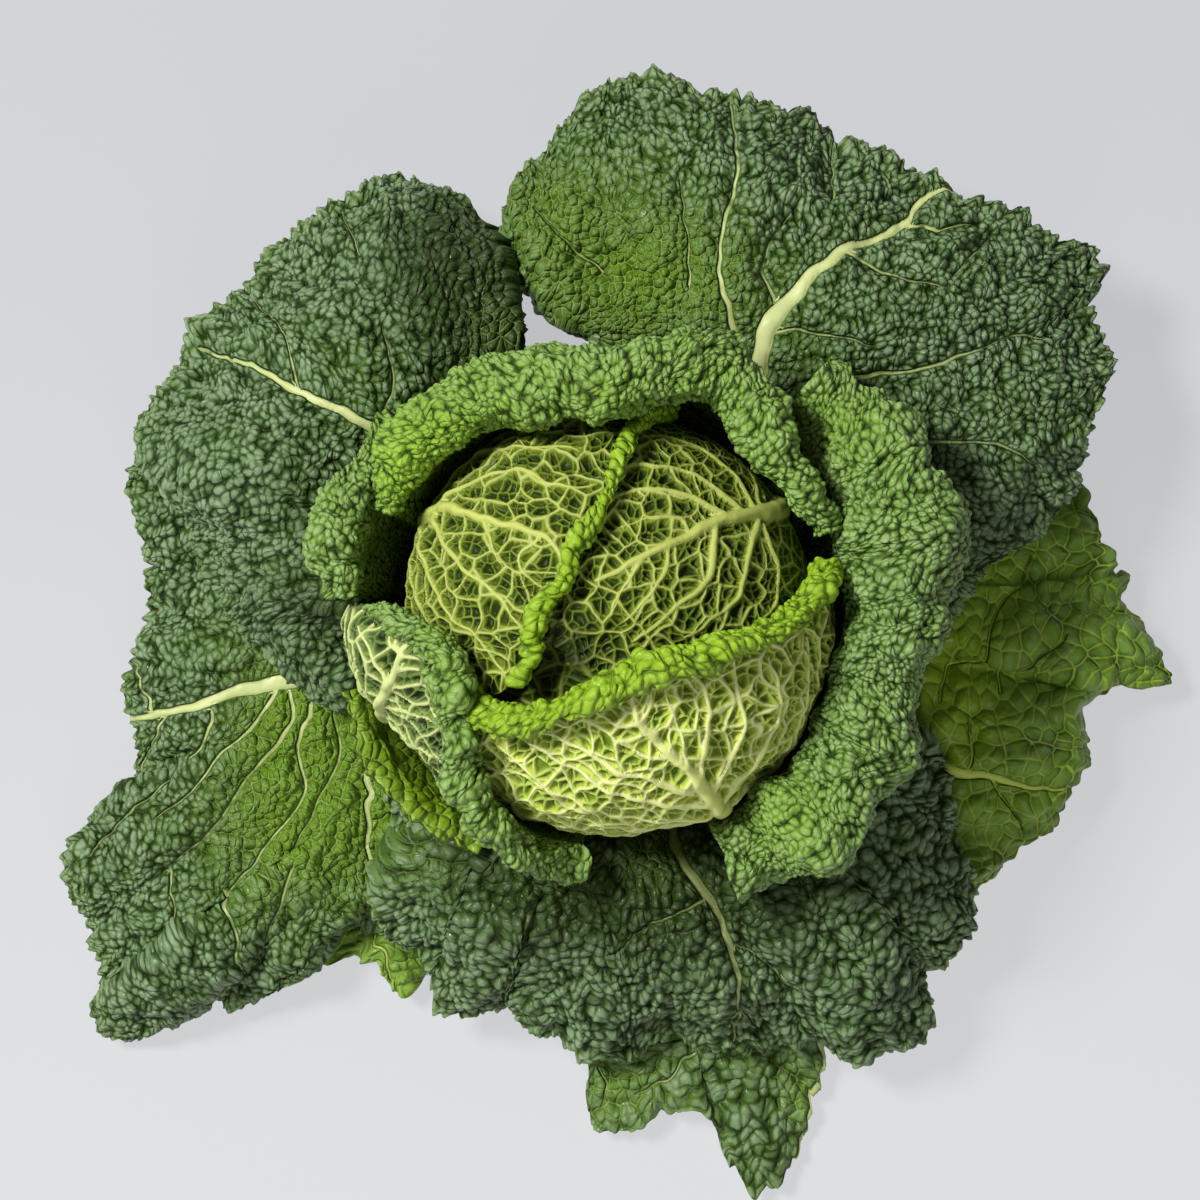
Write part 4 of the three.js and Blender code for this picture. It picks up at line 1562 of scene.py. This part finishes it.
HEAD_LEAVES = (
    HeadLeaf(
        name="head_right", layer=0.2, belly=0.2, turn=20, hem=2, midrib=33, tilt=44, seen_from=0.35,
        roll_spacing=0.85, cell=2.9, puff=1.5, net_cell=4.7, rag=1.6, freshness=0.7,
        stations=((-67, 112, 0.2, 6), (-30, 134, 0.2, 6), (0, 147, 0.2, 6), (33, 153, 0.2, 6),
                  (66, 147, 0.2, 6), (96, 134, 0.2, 6), (133, 112, 0.2, 6)),
        veins=(
            Vein(((771, 512), (721, 522), (670, 546), (625, 564), (598, 579)), 6.0, 1.5),
            Vein(((721, 516), (690, 500), (655, 490), (629, 495), (606, 506)), 3.0, 1.0),
            Vein(((740, 512), (715, 492), (683, 472), (637, 468), (606, 476)), 2.5, 0.9),
            Vein(((752, 510), (735, 480), (702, 453), (672, 440), (644, 439)), 2.3, 0.8),
            Vein(((758, 505), (748, 468), (716, 434), (686, 424), (660, 424)), 1.8, 0.7),
            Vein(((762, 500), (762, 468), (735, 425), (708, 412)), 1.5, 0.7),
            Vein(((713, 529), (712, 556), (706, 579), (672, 612), (637, 640)), 2.8, 1.0),
            Vein(((756, 520), (748, 556), (736, 594), (712, 618), (687, 636)), 2.6, 0.9),
            Vein(((690, 536), (680, 520), (650, 520), (622, 528)), 1.5, 0.6),
            Vein(((640, 560), (622, 590), (612, 612)), 1.6, 0.7),
            Vein(((762, 530), (776, 566), (776, 598), (760, 626)), 2.2, 0.8),
            Vein(((668, 548), (664, 572), (646, 600), (628, 618)), 1.6, 0.7),
        ),
        shade_patches=(Patch(566, 655, 36, 1.2),),
    ),
    HeadLeaf(
        name="head_left", layer=5, belly=5, turn=215, hem=1, midrib=150, roll_spacing=0.62, cell=3.6,
        puff=1.9, net_cell=4.6, lump=1.0, uneven=0.6, wobbles=3.1, freshness=0.8,
        stations=((74, 98, 5, 1.5), (82, 112, 5, 1.6), (91, 137, 5, 1.8), (101, 149, 5, 2),
                  (121, 156, 5, 2), (147, 161, 5, 2.1), (168, 158, 5, 2.1), (190, 155, 5, 2),
                  (207, 151, 5, 1.9), (214, 143, 5, 1.6)),
        veins=(
            Vein(((411, 512), (441, 510), (495, 522), (545, 537), (568, 562)), 5.6, 1.4),
            Vein(((441, 506), (470, 484), (514, 472), (545, 482), (568, 491), (592, 486)), 2.8, 0.9),
            Vein(((436, 512), (443, 540), (461, 564), (499, 598), (530, 640)), 2.6, 0.9),
            Vein(((424, 506), (438, 486), (470, 462), (520, 450), (575, 452)), 2.2, 0.8),
            Vein(((480, 518), (490, 540), (498, 560)), 1.6, 0.6),
            Vein(((540, 536), (520, 560), (536, 585), (556, 590)), 1.6, 0.6),
            Vein(((424, 524), (424, 556), (440, 596), (480, 640), (505, 676)), 2.3, 0.8),
            Vein(((420, 530), (410, 566), (424, 612), (456, 654)), 1.8, 0.7),
            Vein(((430, 500), (450, 470), (496, 436), (560, 424), (610, 420)), 1.6, 0.6),
        ),
    ),
    HeadLeaf(
        name="head_front", under=FRONT_UNDER, layer=8.8, belly=8.8, turn=225, hem=3, midrib=-63,
        roll_spacing=0.66, cell=3.9, puff=2.2, net_cell=5.0, net_depth=2.0, swell=1.6, lump=1.3,
        rag=1.8, frill=1.6, uneven=1.1, wobbles=3.4, freshness=0.7,
        stations=((-156, 128, 8.8, 2), (-140, 135, 8.8, 3.6), (-126, 145, 8.8, 4.4), (-108, 156, 8.8, 4.4),
                  (-78, 162, 8.8, 4.2), (-42, 161, 8.8, 4.4), (-18, 149, 8.8, 4.2), (-8, 137, 8.8, 4.2),
                  (0, 126, 8.8, 4), (13, 108, 8.8, 3)),
        veins=(
            Vein(((721, 809), (702, 786), (683, 763), (637, 717), (629, 690)), 6.0, 1.8),
            Vein(((698, 778), (704, 745), (709, 724), (698, 682), (682, 668)), 2.5, 1.1),
            Vein(((710, 792), (734, 752), (744, 724), (738, 690), (732, 663)), 2.6, 1.0),
            Vein(((719, 803), (752, 766), (775, 724), (776, 690), (768, 660)), 2.6, 1.0),
            Vein(((724, 806), (776, 776), (798, 720), (806, 668), (806, 640)), 2.2, 0.8),
            Vein(((690, 789), (640, 775), (576, 747), (530, 728), (507, 722)), 2.8, 1.0),
            Vein(((706, 801), (655, 798), (606, 786), (560, 760), (520, 738)), 2.6, 0.9),
            Vein(((712, 808), (650, 818), (590, 806), (540, 780), (500, 748)), 2.2, 0.8),
            Vein(((652, 732), (640, 725), (596, 712), (570, 700)), 2.0, 0.8),
            Vein(((676, 756), (652, 756), (616, 738), (590, 722)), 1.6, 0.7),
            Vein(((640, 722), (650, 700), (648, 676)), 1.8, 0.8),
            Vein(((688, 768), (676, 720), (664, 690)), 1.5, 0.6),
            Vein(((716, 812), (660, 828), (596, 824), (540, 804)), 1.8, 0.7),
        ),
    ),
)

COLLAR_LEAVES = (
    CollarLeaf(
        name="collar_north", layer=12.5, belly=12.5, turn=235, hem=3, midrib=95, swell=2.6, lump=1.3,
        uneven=2.4, wobbles=2.6,
        stations=((22, 107, 13, 2.5), (38, 112, 13.5, 5), (54, 112, 16, 8.5), (68, 109, 23, 11.5),
                  (83, 115, 16, 11.8), (106, 117, 13.5, 11.4), (130, 107, 18.5, 10.5),
                  (144, 104, 21, 8), (156, 101, 20, 4)),
        patches=(Patch(420, 470, 60, 0.6), Patch(500, 430, 80, 0.25), Patch(620, 430, 40, 0.4)),
    ),
    CollarLeaf(
        name="collar_east", layer=15.5, belly=17, turn=225, hem=8, midrib=8, freshness=0.12, swell=3.2,
        lump=1.4, uneven=2.6, wobbles=3.4,
        stations=((-66, 90, 14, 13), (-50, 95, 15, 16), (-26, 99, 14.5, 17), (-8, 101, 13.5, 18),
                  (5, 99, 16, 19), (20, 98, 20, 19.5), (36, 97, 25, 17), (50, 94, 33, 9)),
        patches=(Patch(830, 420, 60, 0.4), Patch(790, 820, 60, 0.35)),
    ),
    CollarLeaf(
        name="collar_west", layer=16.4, belly=18.2, turn=215, hem=3, midrib=160, cell=2.9, quilt=0.5,
        swell=2.4, lump=1.8, uneven=2.0, wobbles=1.7,
        stations=((138, 92, 34, 3), (148, 96, 32, 5), (158, 99, 29, 8), (165, 99, 27, 9), (171, 98, 25, 8),
                  (176, 96, 25, 4)),
    ),
    CollarLeaf(
        name="collar_southwest", layer=12.5, belly=15.6, bulge=(182, 22, 14), turn=205, hem=5,
        midrib=208, cell=3.2, puff=2.2, freshness=0.38, quilt=0.5, swell=1.8, lump=1.2, uneven=2.2,
        wobbles=2.8, seen_from=0.4, ball_spacing=0.95, net_cell=4.6, net_depth=1.8, ribs_on_roll=False,
        stations=((178, 106, 18, 3), (182, 119, 16, 4.5), (188, 130, 14, 5), (200, 134, 13, 5),
                  (212, 127, 14, 5), (226, 119, 15.5, 5.4), (241, 109, 17, 5.4), (254, 98, 19, 4.5),
                  (262, 91, 20, 3)),
        veins=(
            Vein(((378, 715), (392, 680), (404, 655), (415, 636)), 6.0, 2.0),
            Vein(((390, 686), (378, 660), (362, 630)), 2.4, 1.0),
            Vein(((396, 672), (420, 668), (440, 676)), 2.2, 0.9),
            Vein(((380, 708), (404, 710), (434, 720)), 2.2, 0.9),
            Vein(((384, 724), (410, 742), (446, 762)), 2.4, 0.9),
            Vein(((404, 655), (392, 636), (386, 616)), 1.8, 0.8),
            Vein(((374, 706), (356, 672), (348, 640)), 2.0, 0.8),
        ),
    ),
    WrappedLeaf(
        name="inner_southwest", slot="fresh_leaf", upper=FRESH_UPPER, under=OUTER_UNDER, layer=16.9,
        belly=19.4, turn=50, hem=3, midrib=214, cell=4.6, puff=0.8, freshness=0.95, quilt=0.3,
        swell=0.6, rag=1.2, frill=1.0,
        stations=((196, 80, 27, 14), (206, 84, 28, 14), (218, 86, 28, 14), (230, 83, 26, 14),
                  (240, 77, 24, 14)),
        shade_patches=(Patch(425, 715, 75, 0.7),),
    ),
)

OUTER_LEAVES = (
    OuterLeaf(
        name="outer_northeast", layer=21.5, leave=58,
        arch=((0.3, 82), (0.66, 80)), side=24, midrib=50, ruffle=3, waves=5, cell=3.1, puff=2.3,
        quilt=2.6,
        rim=((104, -22, 48), (128, -6, 52), (155, 24, 56), (181, 52, 52), (189, 78, 54), (197, 105, 50),
             (190, 124, 56), (197, 141, 48), (172, 153, 56), (143, 165, 54), (108, 184, 52), (70, 198, 50),
             (42, 206, 52), (12, 212, 46), (-11, 206, 50), (-25, 190, 54), (-40, 169, 56), (-46, 150, 56),
             (-35, 136, 54), (-20, 122, 52), (-4, 112, 52)),
        veins=(
            Vein(((765, 335), (800, 290), (850, 250), (905, 225), (920, 200), (960, 186)), 7.4, 2.1),
            Vein(((735, 328), (722, 270), (735, 190), (727, 110)), 2.3, 1.1),
            Vein(((690, 285), (686, 230), (680, 180)), 1.2, 0.5),
            Vein(((775, 300), (762, 268), (785, 215)), 1.6, 0.6),
            Vein(((835, 382), (880, 374), (920, 370), (980, 350), (1040, 336)), 2.2, 0.8),
            Vein(((905, 440), (940, 444), (980, 440), (1030, 462)), 1.9, 0.7),
            Vein(((850, 254), (880, 272), (935, 286)), 1.9, 0.7),
            Vein(((778, 330), (820, 334), (870, 344)), 1.6, 0.6),
            Vein(((905, 225), (935, 232), (972, 226)), 1.9, 0.8),
            Vein(((955, 275), (970, 256), (985, 240)), 0.9, 0.5),
            Vein(((600, 270), (570, 240), (540, 212)), 1.0, 0.5),
            Vein(((832, 200), (836, 165), (834, 135)), 1.0, 0.5),
        ),
        patches=(Patch(590, 300, 110, 0.65), Patch(700, 270, 90, 0.35), Patch(800, 360, 60, 0.3),
                 Patch(540, 190, 80, 0.3)),
        shade_patches=(Patch(590, 330, 60, 0.5), Patch(880, 420, 60, 0.5), Patch(960, 510, 50, 0.5),
                Patch(800, 380, 50, 0.5)),
    ),
    OuterLeaf(
        name="outer_northwest", layer=22.8, leave=50,
        arch=((0.36, 84), (0.66, 80)), side=20, midrib=150, ruffle=2.5, waves=4, cell=3.3, puff=2.5,
        quilt=2.2,
        rim=((-42, 97, 52), (-49, 110, 56), (-51, 126, 58), (-55, 144, 56), (-57, 161, 50),
             (-75, 170, 44), (-88, 178, 38), (-107, 166, 42), (-132, 153, 38), (-148, 129, 40),
             (-168, 108, 38), (-187, 84, 36), (-189, 67, 38), (-174, 48, 42), (-165, 26, 44),
             (-157, 4, 46), (-136, -18, 48), (-114, -32, 48), (-102, -36, 48)),
        veins=(
            Vein(((392, 440), (340, 412), (300, 390), (262, 370), (210, 352)), 5.2, 1.4),
            Vein(((298, 384), (292, 340), (265, 308)), 1.4, 0.6),
            Vein(((375, 425), (392, 380), (384, 330)), 1.0, 0.5),
            Vein(((362, 255), (350, 232), (345, 215)), 0.9, 0.5),
        ),
        patches=(Patch(500, 340, 45, 0.5), Patch(400, 400, 70, 0.2)),
        shade_patches=(Patch(480, 320, 75, 1.2), Patch(455, 255, 60, 1.0), Patch(160, 560, 50, 0.4),
                Patch(325, 600, 50, 0.8), Patch(318, 500, 34, 0.6)),
    ),
    OuterLeaf(
        name="outer_south", layer=22.6, leave=50,
        arch=((0.32, 72), (0.62, 66)), side=12, midrib=-75, ruffle=3, waves=6, cell=3.9, puff=3.3,
        quilt=2.2, swell=2.8, rag=4.2, frill=3.0,
        rim=((-84, -58, 54), (-90, -70, 51), (-82, -92, 50), (-94, -112, 43), (-90, -132, 32),
             (-76, -141, 30), (-73, -154, 24), (-60, -163, 20), (-42, -159, 24), (-28, -171, 20),
             (-6, -174, 24), (20, -172, 22), (46, -177, 18), (68, -172, 24), (92, -176, 20),
             (108, -176, 22), (127, -164, 24), (128, -145, 30), (143, -130, 30), (145, -118, 34),
             (139, -92, 38), (134, -66, 44), (116, -48, 48)),
        veins=(
            Vein(((680, 860), (700, 884), (715, 910), (732, 950), (738, 1000), (733, 1035)), 4.4, 1.1),
            Vein(((722, 1016), (738, 1006), (752, 1018)), 1.2, 0.5),
            Vein(((728, 940), (760, 960), (790, 985)), 1.2, 0.5),
            Vein(((706, 896), (650, 920), (610, 950)), 1.3, 0.5),
        ),
        patches=(Patch(660, 850, 40, 0.5), Patch(560, 870, 60, 0.3), Patch(430, 850, 50, 0.3)),
        shade_patches=(Patch(560, 876, 72, 1.7), Patch(670, 872, 68, 1.6), Patch(780, 876, 68, 1.2),
                Patch(470, 850, 45, 0.6)),
    ),
    OuterLeaf(
        name="outer_west", layer=28.8, leave=48,
        arch=((0.35, 36), (0.7, 34)), side=6, midrib=190, ruffle=2.5, waves=6, cell=3.0, puff=2.1,
        quilt=2.8, stray=0.5,
        rim=((-120, 62, 34), (-160, 66, 30), (-195, 66, 24), (-192, 28, 22), (-190, 0, 20), (-199, -30, 18),
             (-196, -62, 16), (-212, -80, 14), (-223, -100, 14), (-214, -128, 12), (-207, -152, 10),
             (-214, -164, 6), (-201, -177, 8), (-183, -169, 10), (-164, -156, 14), (-154, -160, 10),
             (-137, -153, 12), (-119, -139, 16), (-107, -130, 18), (-88, -126, 20), (-66, -116, 22)),
        veins=(
            Vein(((280, 682), (240, 692), (200, 702), (160, 712), (120, 720)), 6.4, 2.4),
            Vein(((155, 708), (145, 682), (135, 655)), 2.2, 0.9),
            Vein(((274, 692), (236, 744), (196, 790), (160, 815)), 2.0, 0.7),
            Vein(((290, 694), (276, 746), (222, 812), (170, 868)), 2.0, 0.7),
            Vein(((214, 712), (196, 755), (150, 800), (96, 850)), 1.8, 0.6),
            Vein(((310, 706), (306, 780), (262, 850), (228, 890)), 1.9, 0.8),
            Vein(((228, 890), (232, 918), (236, 950), (246, 968)), 1.9, 0.8),
            Vein(((367, 780), (365, 815), (369, 850), (378, 882)), 3.0, 1.6),
            Vein(((330, 700), (340, 740), (318, 800), (290, 850)), 1.4, 0.6),
            Vein(((172, 714), (152, 745), (116, 776)), 1.5, 0.6),
            Vein(((290, 870), (275, 920), (262, 960)), 1.3, 0.6),
            Vein(((172, 868), (176, 890), (180, 915)), 1.5, 0.6),
        ),
        patches=(Patch(350, 790, 95, 1.0), Patch(300, 700, 70, 0.7), Patch(255, 850, 90, 0.4),
                 Patch(390, 720, 60, 0.6)),
    ),
    OuterLeaf(
        name="outer_east", upper=EAST_UPPER, layer=27.5, leave=48,
        arch=((0.32, 37), (0.68, 34)), side=6, midrib=-25, ruffle=2.5, waves=4, cell=6.6, puff=1.5,
        quilt=2.6, freshness=0.3,
        rim=((112, -112, 24), (136, -115, 22), (150, -110, 20), (168, -92, 18), (181, -84, 16),
             (189, -64, 18), (195, -32, 20), (213, -29, 16), (226, -28, 12), (219, -10, 16), (210, 6, 18),
             (213, 15, 14), (203, 17, 20), (196, 32, 24), (194, 50, 24), (176, 60, 28), (150, 60, 32)),
        veins=(
            Vein(((950, 772), (980, 774), (1010, 780), (1062, 788)), 4.6, 1.4),
            Vein(((968, 768), (972, 750), (966, 724)), 1.3, 0.5),
            Vein(((984, 774), (1006, 800), (1020, 826)), 1.2, 0.5),
            Vein(((1000, 690), (1030, 668), (1064, 640)), 1.2, 0.5),
            Vein(((940, 700), (990, 640), (1030, 560)), 1.3, 0.5),
        ),
        patches=(Patch(935, 690, 60, 0.7), Patch(990, 800, 60, 0.3), Patch(980, 620, 80, 0.3)),
    ),
    LowestLeaf(
        name="under_south", side=3, midrib=-69, cell=4.6,
        rim=((-14, -150, 13), (-12, -177, 12), (-12, -198, 10), (-6, -212, 9), (10, -210, 10), (31, -200, 11),
             (45, -217, 9), (58, -237, 8), (74, -222, 9), (80, -206, 10), (86, -184, 11), (83, -150, 13)),
        veins=(
            Vein(((822, 1048), (818, 1085), (806, 1130), (795, 1160)), 3.6, 1.1),
            Vein(((690, 1052), (668, 1078), (640, 1092)), 1.3, 0.5),
            Vein(((600, 1070), (606, 1090), (600, 1112)), 1.0, 0.5),
        ),
        patches=(Patch(625, 1080, 50, 0.35), Patch(810, 1100, 30, 0.5)),
    ),
    LowestLeaf(
        name="under_southwest", upper=FRESH_UPPER, side=2, midrib=236, cell=4.2,
        rim=((-122, -98, 12), (-120, -118, 12), (-121, -132, 10), (-116, -141, 9), (-103, -141, 10),
             (-88, -154, 8), (-77, -147, 9), (-64, -140, 12), (-56, -128, 14)),
        veins=(Vein(((372, 930), (382, 956), (388, 976)), 2.0, 1.0),),
    ),
)


# ---- Heart and stump ------------------------------------------------------------------------------


@dataclass(kw_only=True)
class Heart:
    """The close inner leaves: an egg whose skin steps outward round each fold."""

    name: str = "heart"
    columns: int = 110
    rows: int = 60
    folds: int = 5
    fold_step: float = 2.2
    sunk: float = 2.8
    twist: float = 0.9
    wrinkle: float = 1.1
    cell: float = 4.6
    under: UnderFinish = HEAD_UNDER

    def build(self) -> bpy.types.Object:
        """Makes the heart in place of its node.

        Returns:
            The piece.
        """
        around = 2 * np.pi * np.arange(self.columns) / self.columns
        polar = np.pi * np.arange(1, self.rows) / self.rows
        turn, down = np.meshgrid(around, polar)
        lap = (turn + self.twist * down) * self.folds / (2 * np.pi)
        part = lap - np.floor(lap)
        step = self.fold_step * np.minimum(part, (1 - part) * 14) * np.sin(down)
        reach = CORE.reach(down) - self.sunk - self.fold_step + step
        out = np.stack([np.sin(down) * np.cos(turn), np.sin(down) * np.sin(turn), -np.cos(down)], -1)
        ends = np.array([[0, 0, -1.0], [0, 0, 1.0]]) * (CORE.half_height - self.sunk - self.fold_step)
        skin = np.concatenate([ends[:1], (out * reach[..., None]).reshape(-1, 3), ends[1:]])
        cells = skin / self.cell + 0.2 * noise(skin, 2 * self.cell)
        edge = read_pattern(Pattern.EDGES, cells)[:, 0]
        places = skin - unit(skin) * (self.wrinkle * smooth(0.03, 0.3, edge))[:, None]
        places[:, 2] += CORE.centre
        layers = {
            "cell_at": cells,
            "rib": np.tile([NO_RIB, 0.0, NO_RIB], (len(places), 1)),
            # The heart, deep inside the head, takes half of the painted shade.
            "tone_and_shade": np.tile([0.8, 0.0, 0.5], (len(places), 1)),
        }
        piece = ringed(self.name + "_leaves", places, self.columns, self.rows - 1, layers)
        piece.data.materials.append(self.under.build())
        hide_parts(self.name)
        return piece


def ringed(name: str, places: Array, columns: int, rows: int,
           layers: dict[str, Array]) -> bpy.types.Object:
    """Makes a closed skin over rings of points.

    Args:
        name: the piece's name.
        places: the lowest point, the rings from the lowest up, and the highest point.
        columns: the points in each ring.
        rows: the number of rings.
        layers: vectors for each point, by name.

    Returns:
        The piece.
    """
    side = np.arange(columns)
    after = (side + 1) % columns
    top = 1 + (rows - 1) * columns
    ring = np.arange(rows - 1)[:, None] * columns + 1
    a, b = ring + side, ring + after
    c, d = b + columns, a + columns
    faces = np.concatenate([
        np.stack([np.zeros(columns, int), 1 + after, 1 + side], 1),
        np.stack([a.ravel(), b.ravel(), c.ravel()], 1),
        np.stack([a.ravel(), c.ravel(), d.ravel()], 1),
        np.stack([np.full(columns, len(places) - 1), top + side, top + after], 1),
    ])
    level = np.concatenate([[0.0], np.repeat(np.arange(1, rows + 1), columns) / (rows + 1), [1.0]])
    turn = np.concatenate([[0.5], np.tile(side, rows) / columns, [0.5]])
    at = np.stack([turn[faces], level[faces]], -1)
    wraps = (at[..., 0].max(1) - at[..., 0].min(1)) > 0.6
    at[wraps, :, 0] += at[wraps, :, 0] < 0.3
    tip = (faces == 0) | (faces == len(places) - 1)
    middle = np.where(tip, 0, at[..., 0]).sum(1) / np.maximum((~tip).sum(1), 1)
    at[..., 0] = np.where(tip, middle[:, None], at[..., 0])
    return meshed(name, places, faces, layers, 0.005 + 0.985 * at)


@dataclass(frozen=True)
class StumpFinish:
    """The cut stalk: a pale ringed cut face, and a fibrous green-white skin."""

    name: str = "cut stalk"
    pith: Colour = paint(226, 226, 190)
    wood: Colour = paint(186, 178, 122)
    dry: Colour = paint(150, 128, 84)
    skin: Colour = paint(178, 190, 128)
    scar: Colour = paint(120, 112, 72)

    def build(self) -> bpy.types.Material:
        """Mixes the finish.

        Returns:
            The material.
        """
        canvas = Canvas(self.name)
        cut = canvas.layer("cut")
        from_middle = canvas.part(cut, "X")
        on_face = canvas.part(cut, "Y")
        scarred = canvas.part(cut, "Z")
        place = canvas.add("ShaderNodeTexCoord", {}).outputs["Object"]
        grain = canvas.grain(place, 420.0, 4.0)
        stretched = canvas.add("ShaderNodeMapping", {0: place, "Scale": (900.0, 900.0, 90.0)}).outputs[0]
        fibre = canvas.grain(stretched, 1.0)
        ring = canvas.times(canvas.ease(from_middle, 0.62, 0.70), canvas.ease(from_middle, 0.80, 0.72))
        face = canvas.blend(ring, self.pith, self.wood)
        face = canvas.blend(canvas.ease(from_middle, 0.86, 1.0), face, self.dry)
        face = canvas.blend(canvas.ease(grain, 0.52, 0.75, 0.0, 0.5), face, self.wood)
        skin = canvas.blend(canvas.ease(fibre, 0.35, 0.7), self.skin, self.pith)
        skin = canvas.blend(scarred, skin, self.scar)
        canvas.wear("Base Color", canvas.blend(on_face, skin, face))
        canvas.wear("Roughness", canvas.ease(grain, 0.2, 0.8, 0.55, 0.8))
        canvas.bump(canvas.maths("ADD", grain, fibre), 0.35, 0.7)
        return canvas.material


@dataclass(kw_only=True)
class Stump:
    """The short stalk that the cabbage stands on, cut square."""

    name: str = "stump"
    radius: float = 18.5
    height: float = 27.2
    chamfer: float = 1.2
    columns: int = 120
    rows: int = 56
    face_rows: int = 16
    scars: int = 5
    scar_depth: float = 0.9
    ridges: int = 37
    ridge_depth: float = 0.3
    finish: StumpFinish = StumpFinish()

    def build(self) -> bpy.types.Object:
        """Makes the stump in place of its node.

        Returns:
            The piece.
        """
        face_rows = self.face_rows
        side_rows = self.rows - 2 * face_rows
        edge = self.radius - self.chamfer
        inside = np.linspace(0, 1, face_rows + 1)[1:]
        rise = np.linspace(0, 1, side_rows + 1)[1:-1]
        radii = np.concatenate([edge * inside, np.full(len(rise), self.radius), self.radius * inside[::-1]])
        heights = np.concatenate([np.zeros(face_rows), self.chamfer + rise * (self.height - self.chamfer),
                                  np.full(face_rows, self.height)])
        turns, level = np.meshgrid(2 * np.pi * np.arange(self.columns) / self.columns, heights / self.height)
        wave = 0.5 + 0.5 * np.sin(self.scars * turns + 9.0 * level)
        scar = smooth(0.05, 0.2, level) * smooth(1.0, 0.7, level) * smooth(0.82, 1.0, wave)
        on_face = np.tile((heights == 0)[:, None], (1, self.columns))
        ridge = smooth(0.1, 0.3, level) * (0.5 + 0.5 * np.sin(self.ridges * turns))
        radius = radii[:, None] - self.scar_depth * scar - self.ridge_depth * ridge
        ring = np.stack([radius * np.cos(turns), radius * np.sin(turns), heights[:, None] + 0 * turns], -1)
        places = np.concatenate([[[0, 0, 0.0]], ring.reshape(-1, 3), [[0, 0, self.height]]])
        cut = np.stack([radii[:, None] / self.radius + 0 * turns, on_face, scar], -1).reshape(-1, 3)
        cut = np.concatenate([[[0, 1, 0.0]], cut, [[0, 0, 0.0]]])
        piece = ringed(self.name + "_stalk", places, self.columns, len(heights), {"cut": cut})
        piece.data.materials.append(self.finish.build())
        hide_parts(self.name)
        return piece


# ---- The studio -------------------------------------------------------------------------------------


@dataclass(frozen=True)
class Lamp:
    """A soft square lamp, aimed at the head; sizes in metres."""

    name: str
    place: tuple[float, float, float]
    size: float
    power: float
    colour: tuple[float, float, float] = (1.0, 0.99, 0.97)

    def build(self) -> None:
        """Hangs the lamp."""
        data = bpy.data.lights.new(self.name, "AREA")
        data.size = self.size
        data.energy = self.power
        data.color = self.colour
        lamp = bpy.data.objects.new(self.name, data)
        lamp.location = self.place
        aim = Vector((0.0, 0.0, CORE.centre * MM)) - Vector(self.place)
        lamp.rotation_euler = aim.to_track_quat("-Z", "Y").to_euler()
        bpy.context.scene.collection.objects.link(lamp)


@dataclass(frozen=True)
class Studio:
    """A pale floor that glows a little as painted light, under soft light."""

    floor_reach: float = 4.0
    floor: Colour = paint(98, 100, 103)
    floor_shade: Colour = paint(94, 96, 100)
    far_glow: Colour = paint(205, 206, 210)
    near_glow: Colour = paint(226, 227, 229)
    glow_strength: float = 0.78
    sky: Colour = paint(240, 242, 246)
    sky_strength: float = 0.13
    lamps: tuple[Lamp, ...] = (
        Lamp("key", (-1.9, 1.1, 2.7), 0.8, 138.0),
        Lamp("fill", (0.2, -1.8, 1.7), 1.4, 13.0),
    )

    def build(self) -> None:
        """Lays the floor and lights it."""
        reach = self.floor_reach
        mesh = bpy.data.meshes.new("floor")
        corners = [(-reach, -reach, 0), (reach, -reach, 0), (reach, reach, 0), (-reach, reach, 0)]
        mesh.from_pydata(corners, [], [(0, 1, 2, 3)])
        floor = bpy.data.objects.new("floor", mesh)
        bpy.context.scene.collection.objects.link(floor)
        canvas = Canvas("pale floor")
        place = canvas.add("ShaderNodeTexCoord", {}).outputs["Object"]
        canvas.wear("Base Color", canvas.blend(canvas.grain(place, 1.2), self.floor, self.floor_shade))
        canvas.wear("Roughness", 0.9)
        # The floor glows as painted light, which softens the cabbage's shadow on it, and glows brighter
        # towards the front.
        nearness = canvas.ease(canvas.part(place, "Y"), 0.3, -0.3)
        canvas.wear("Emission Color", canvas.blend(nearness, self.far_glow, self.near_glow))
        canvas.wear("Emission Strength", self.glow_strength)
        mesh.materials.append(canvas.material)
        world = bpy.data.worlds.new("sky")
        world.use_nodes = True
        glow = world.node_tree.nodes["Background"]
        glow.inputs["Color"].default_value = self.sky
        glow.inputs["Strength"].default_value = self.sky_strength
        bpy.context.scene.world = world
        bpy.context.scene.view_settings.view_transform = "Standard"
        for lamp in self.lamps:
            lamp.build()


def main() -> None:
    """Builds the cabbage and its studio, and writes how large the result is."""
    logging.basicConfig(level=logging.INFO, format="%(message)s")
    EYE.build()
    Studio().build()
    for part in (Stump(), Heart(), *HEAD_LEAVES, *COLLAR_LEAVES, *OUTER_LEAVES):
        piece = part.build()
        log.info("%s: %d triangles", piece.name, len(piece.data.polygons))


if __name__ == "__main__":
    main()
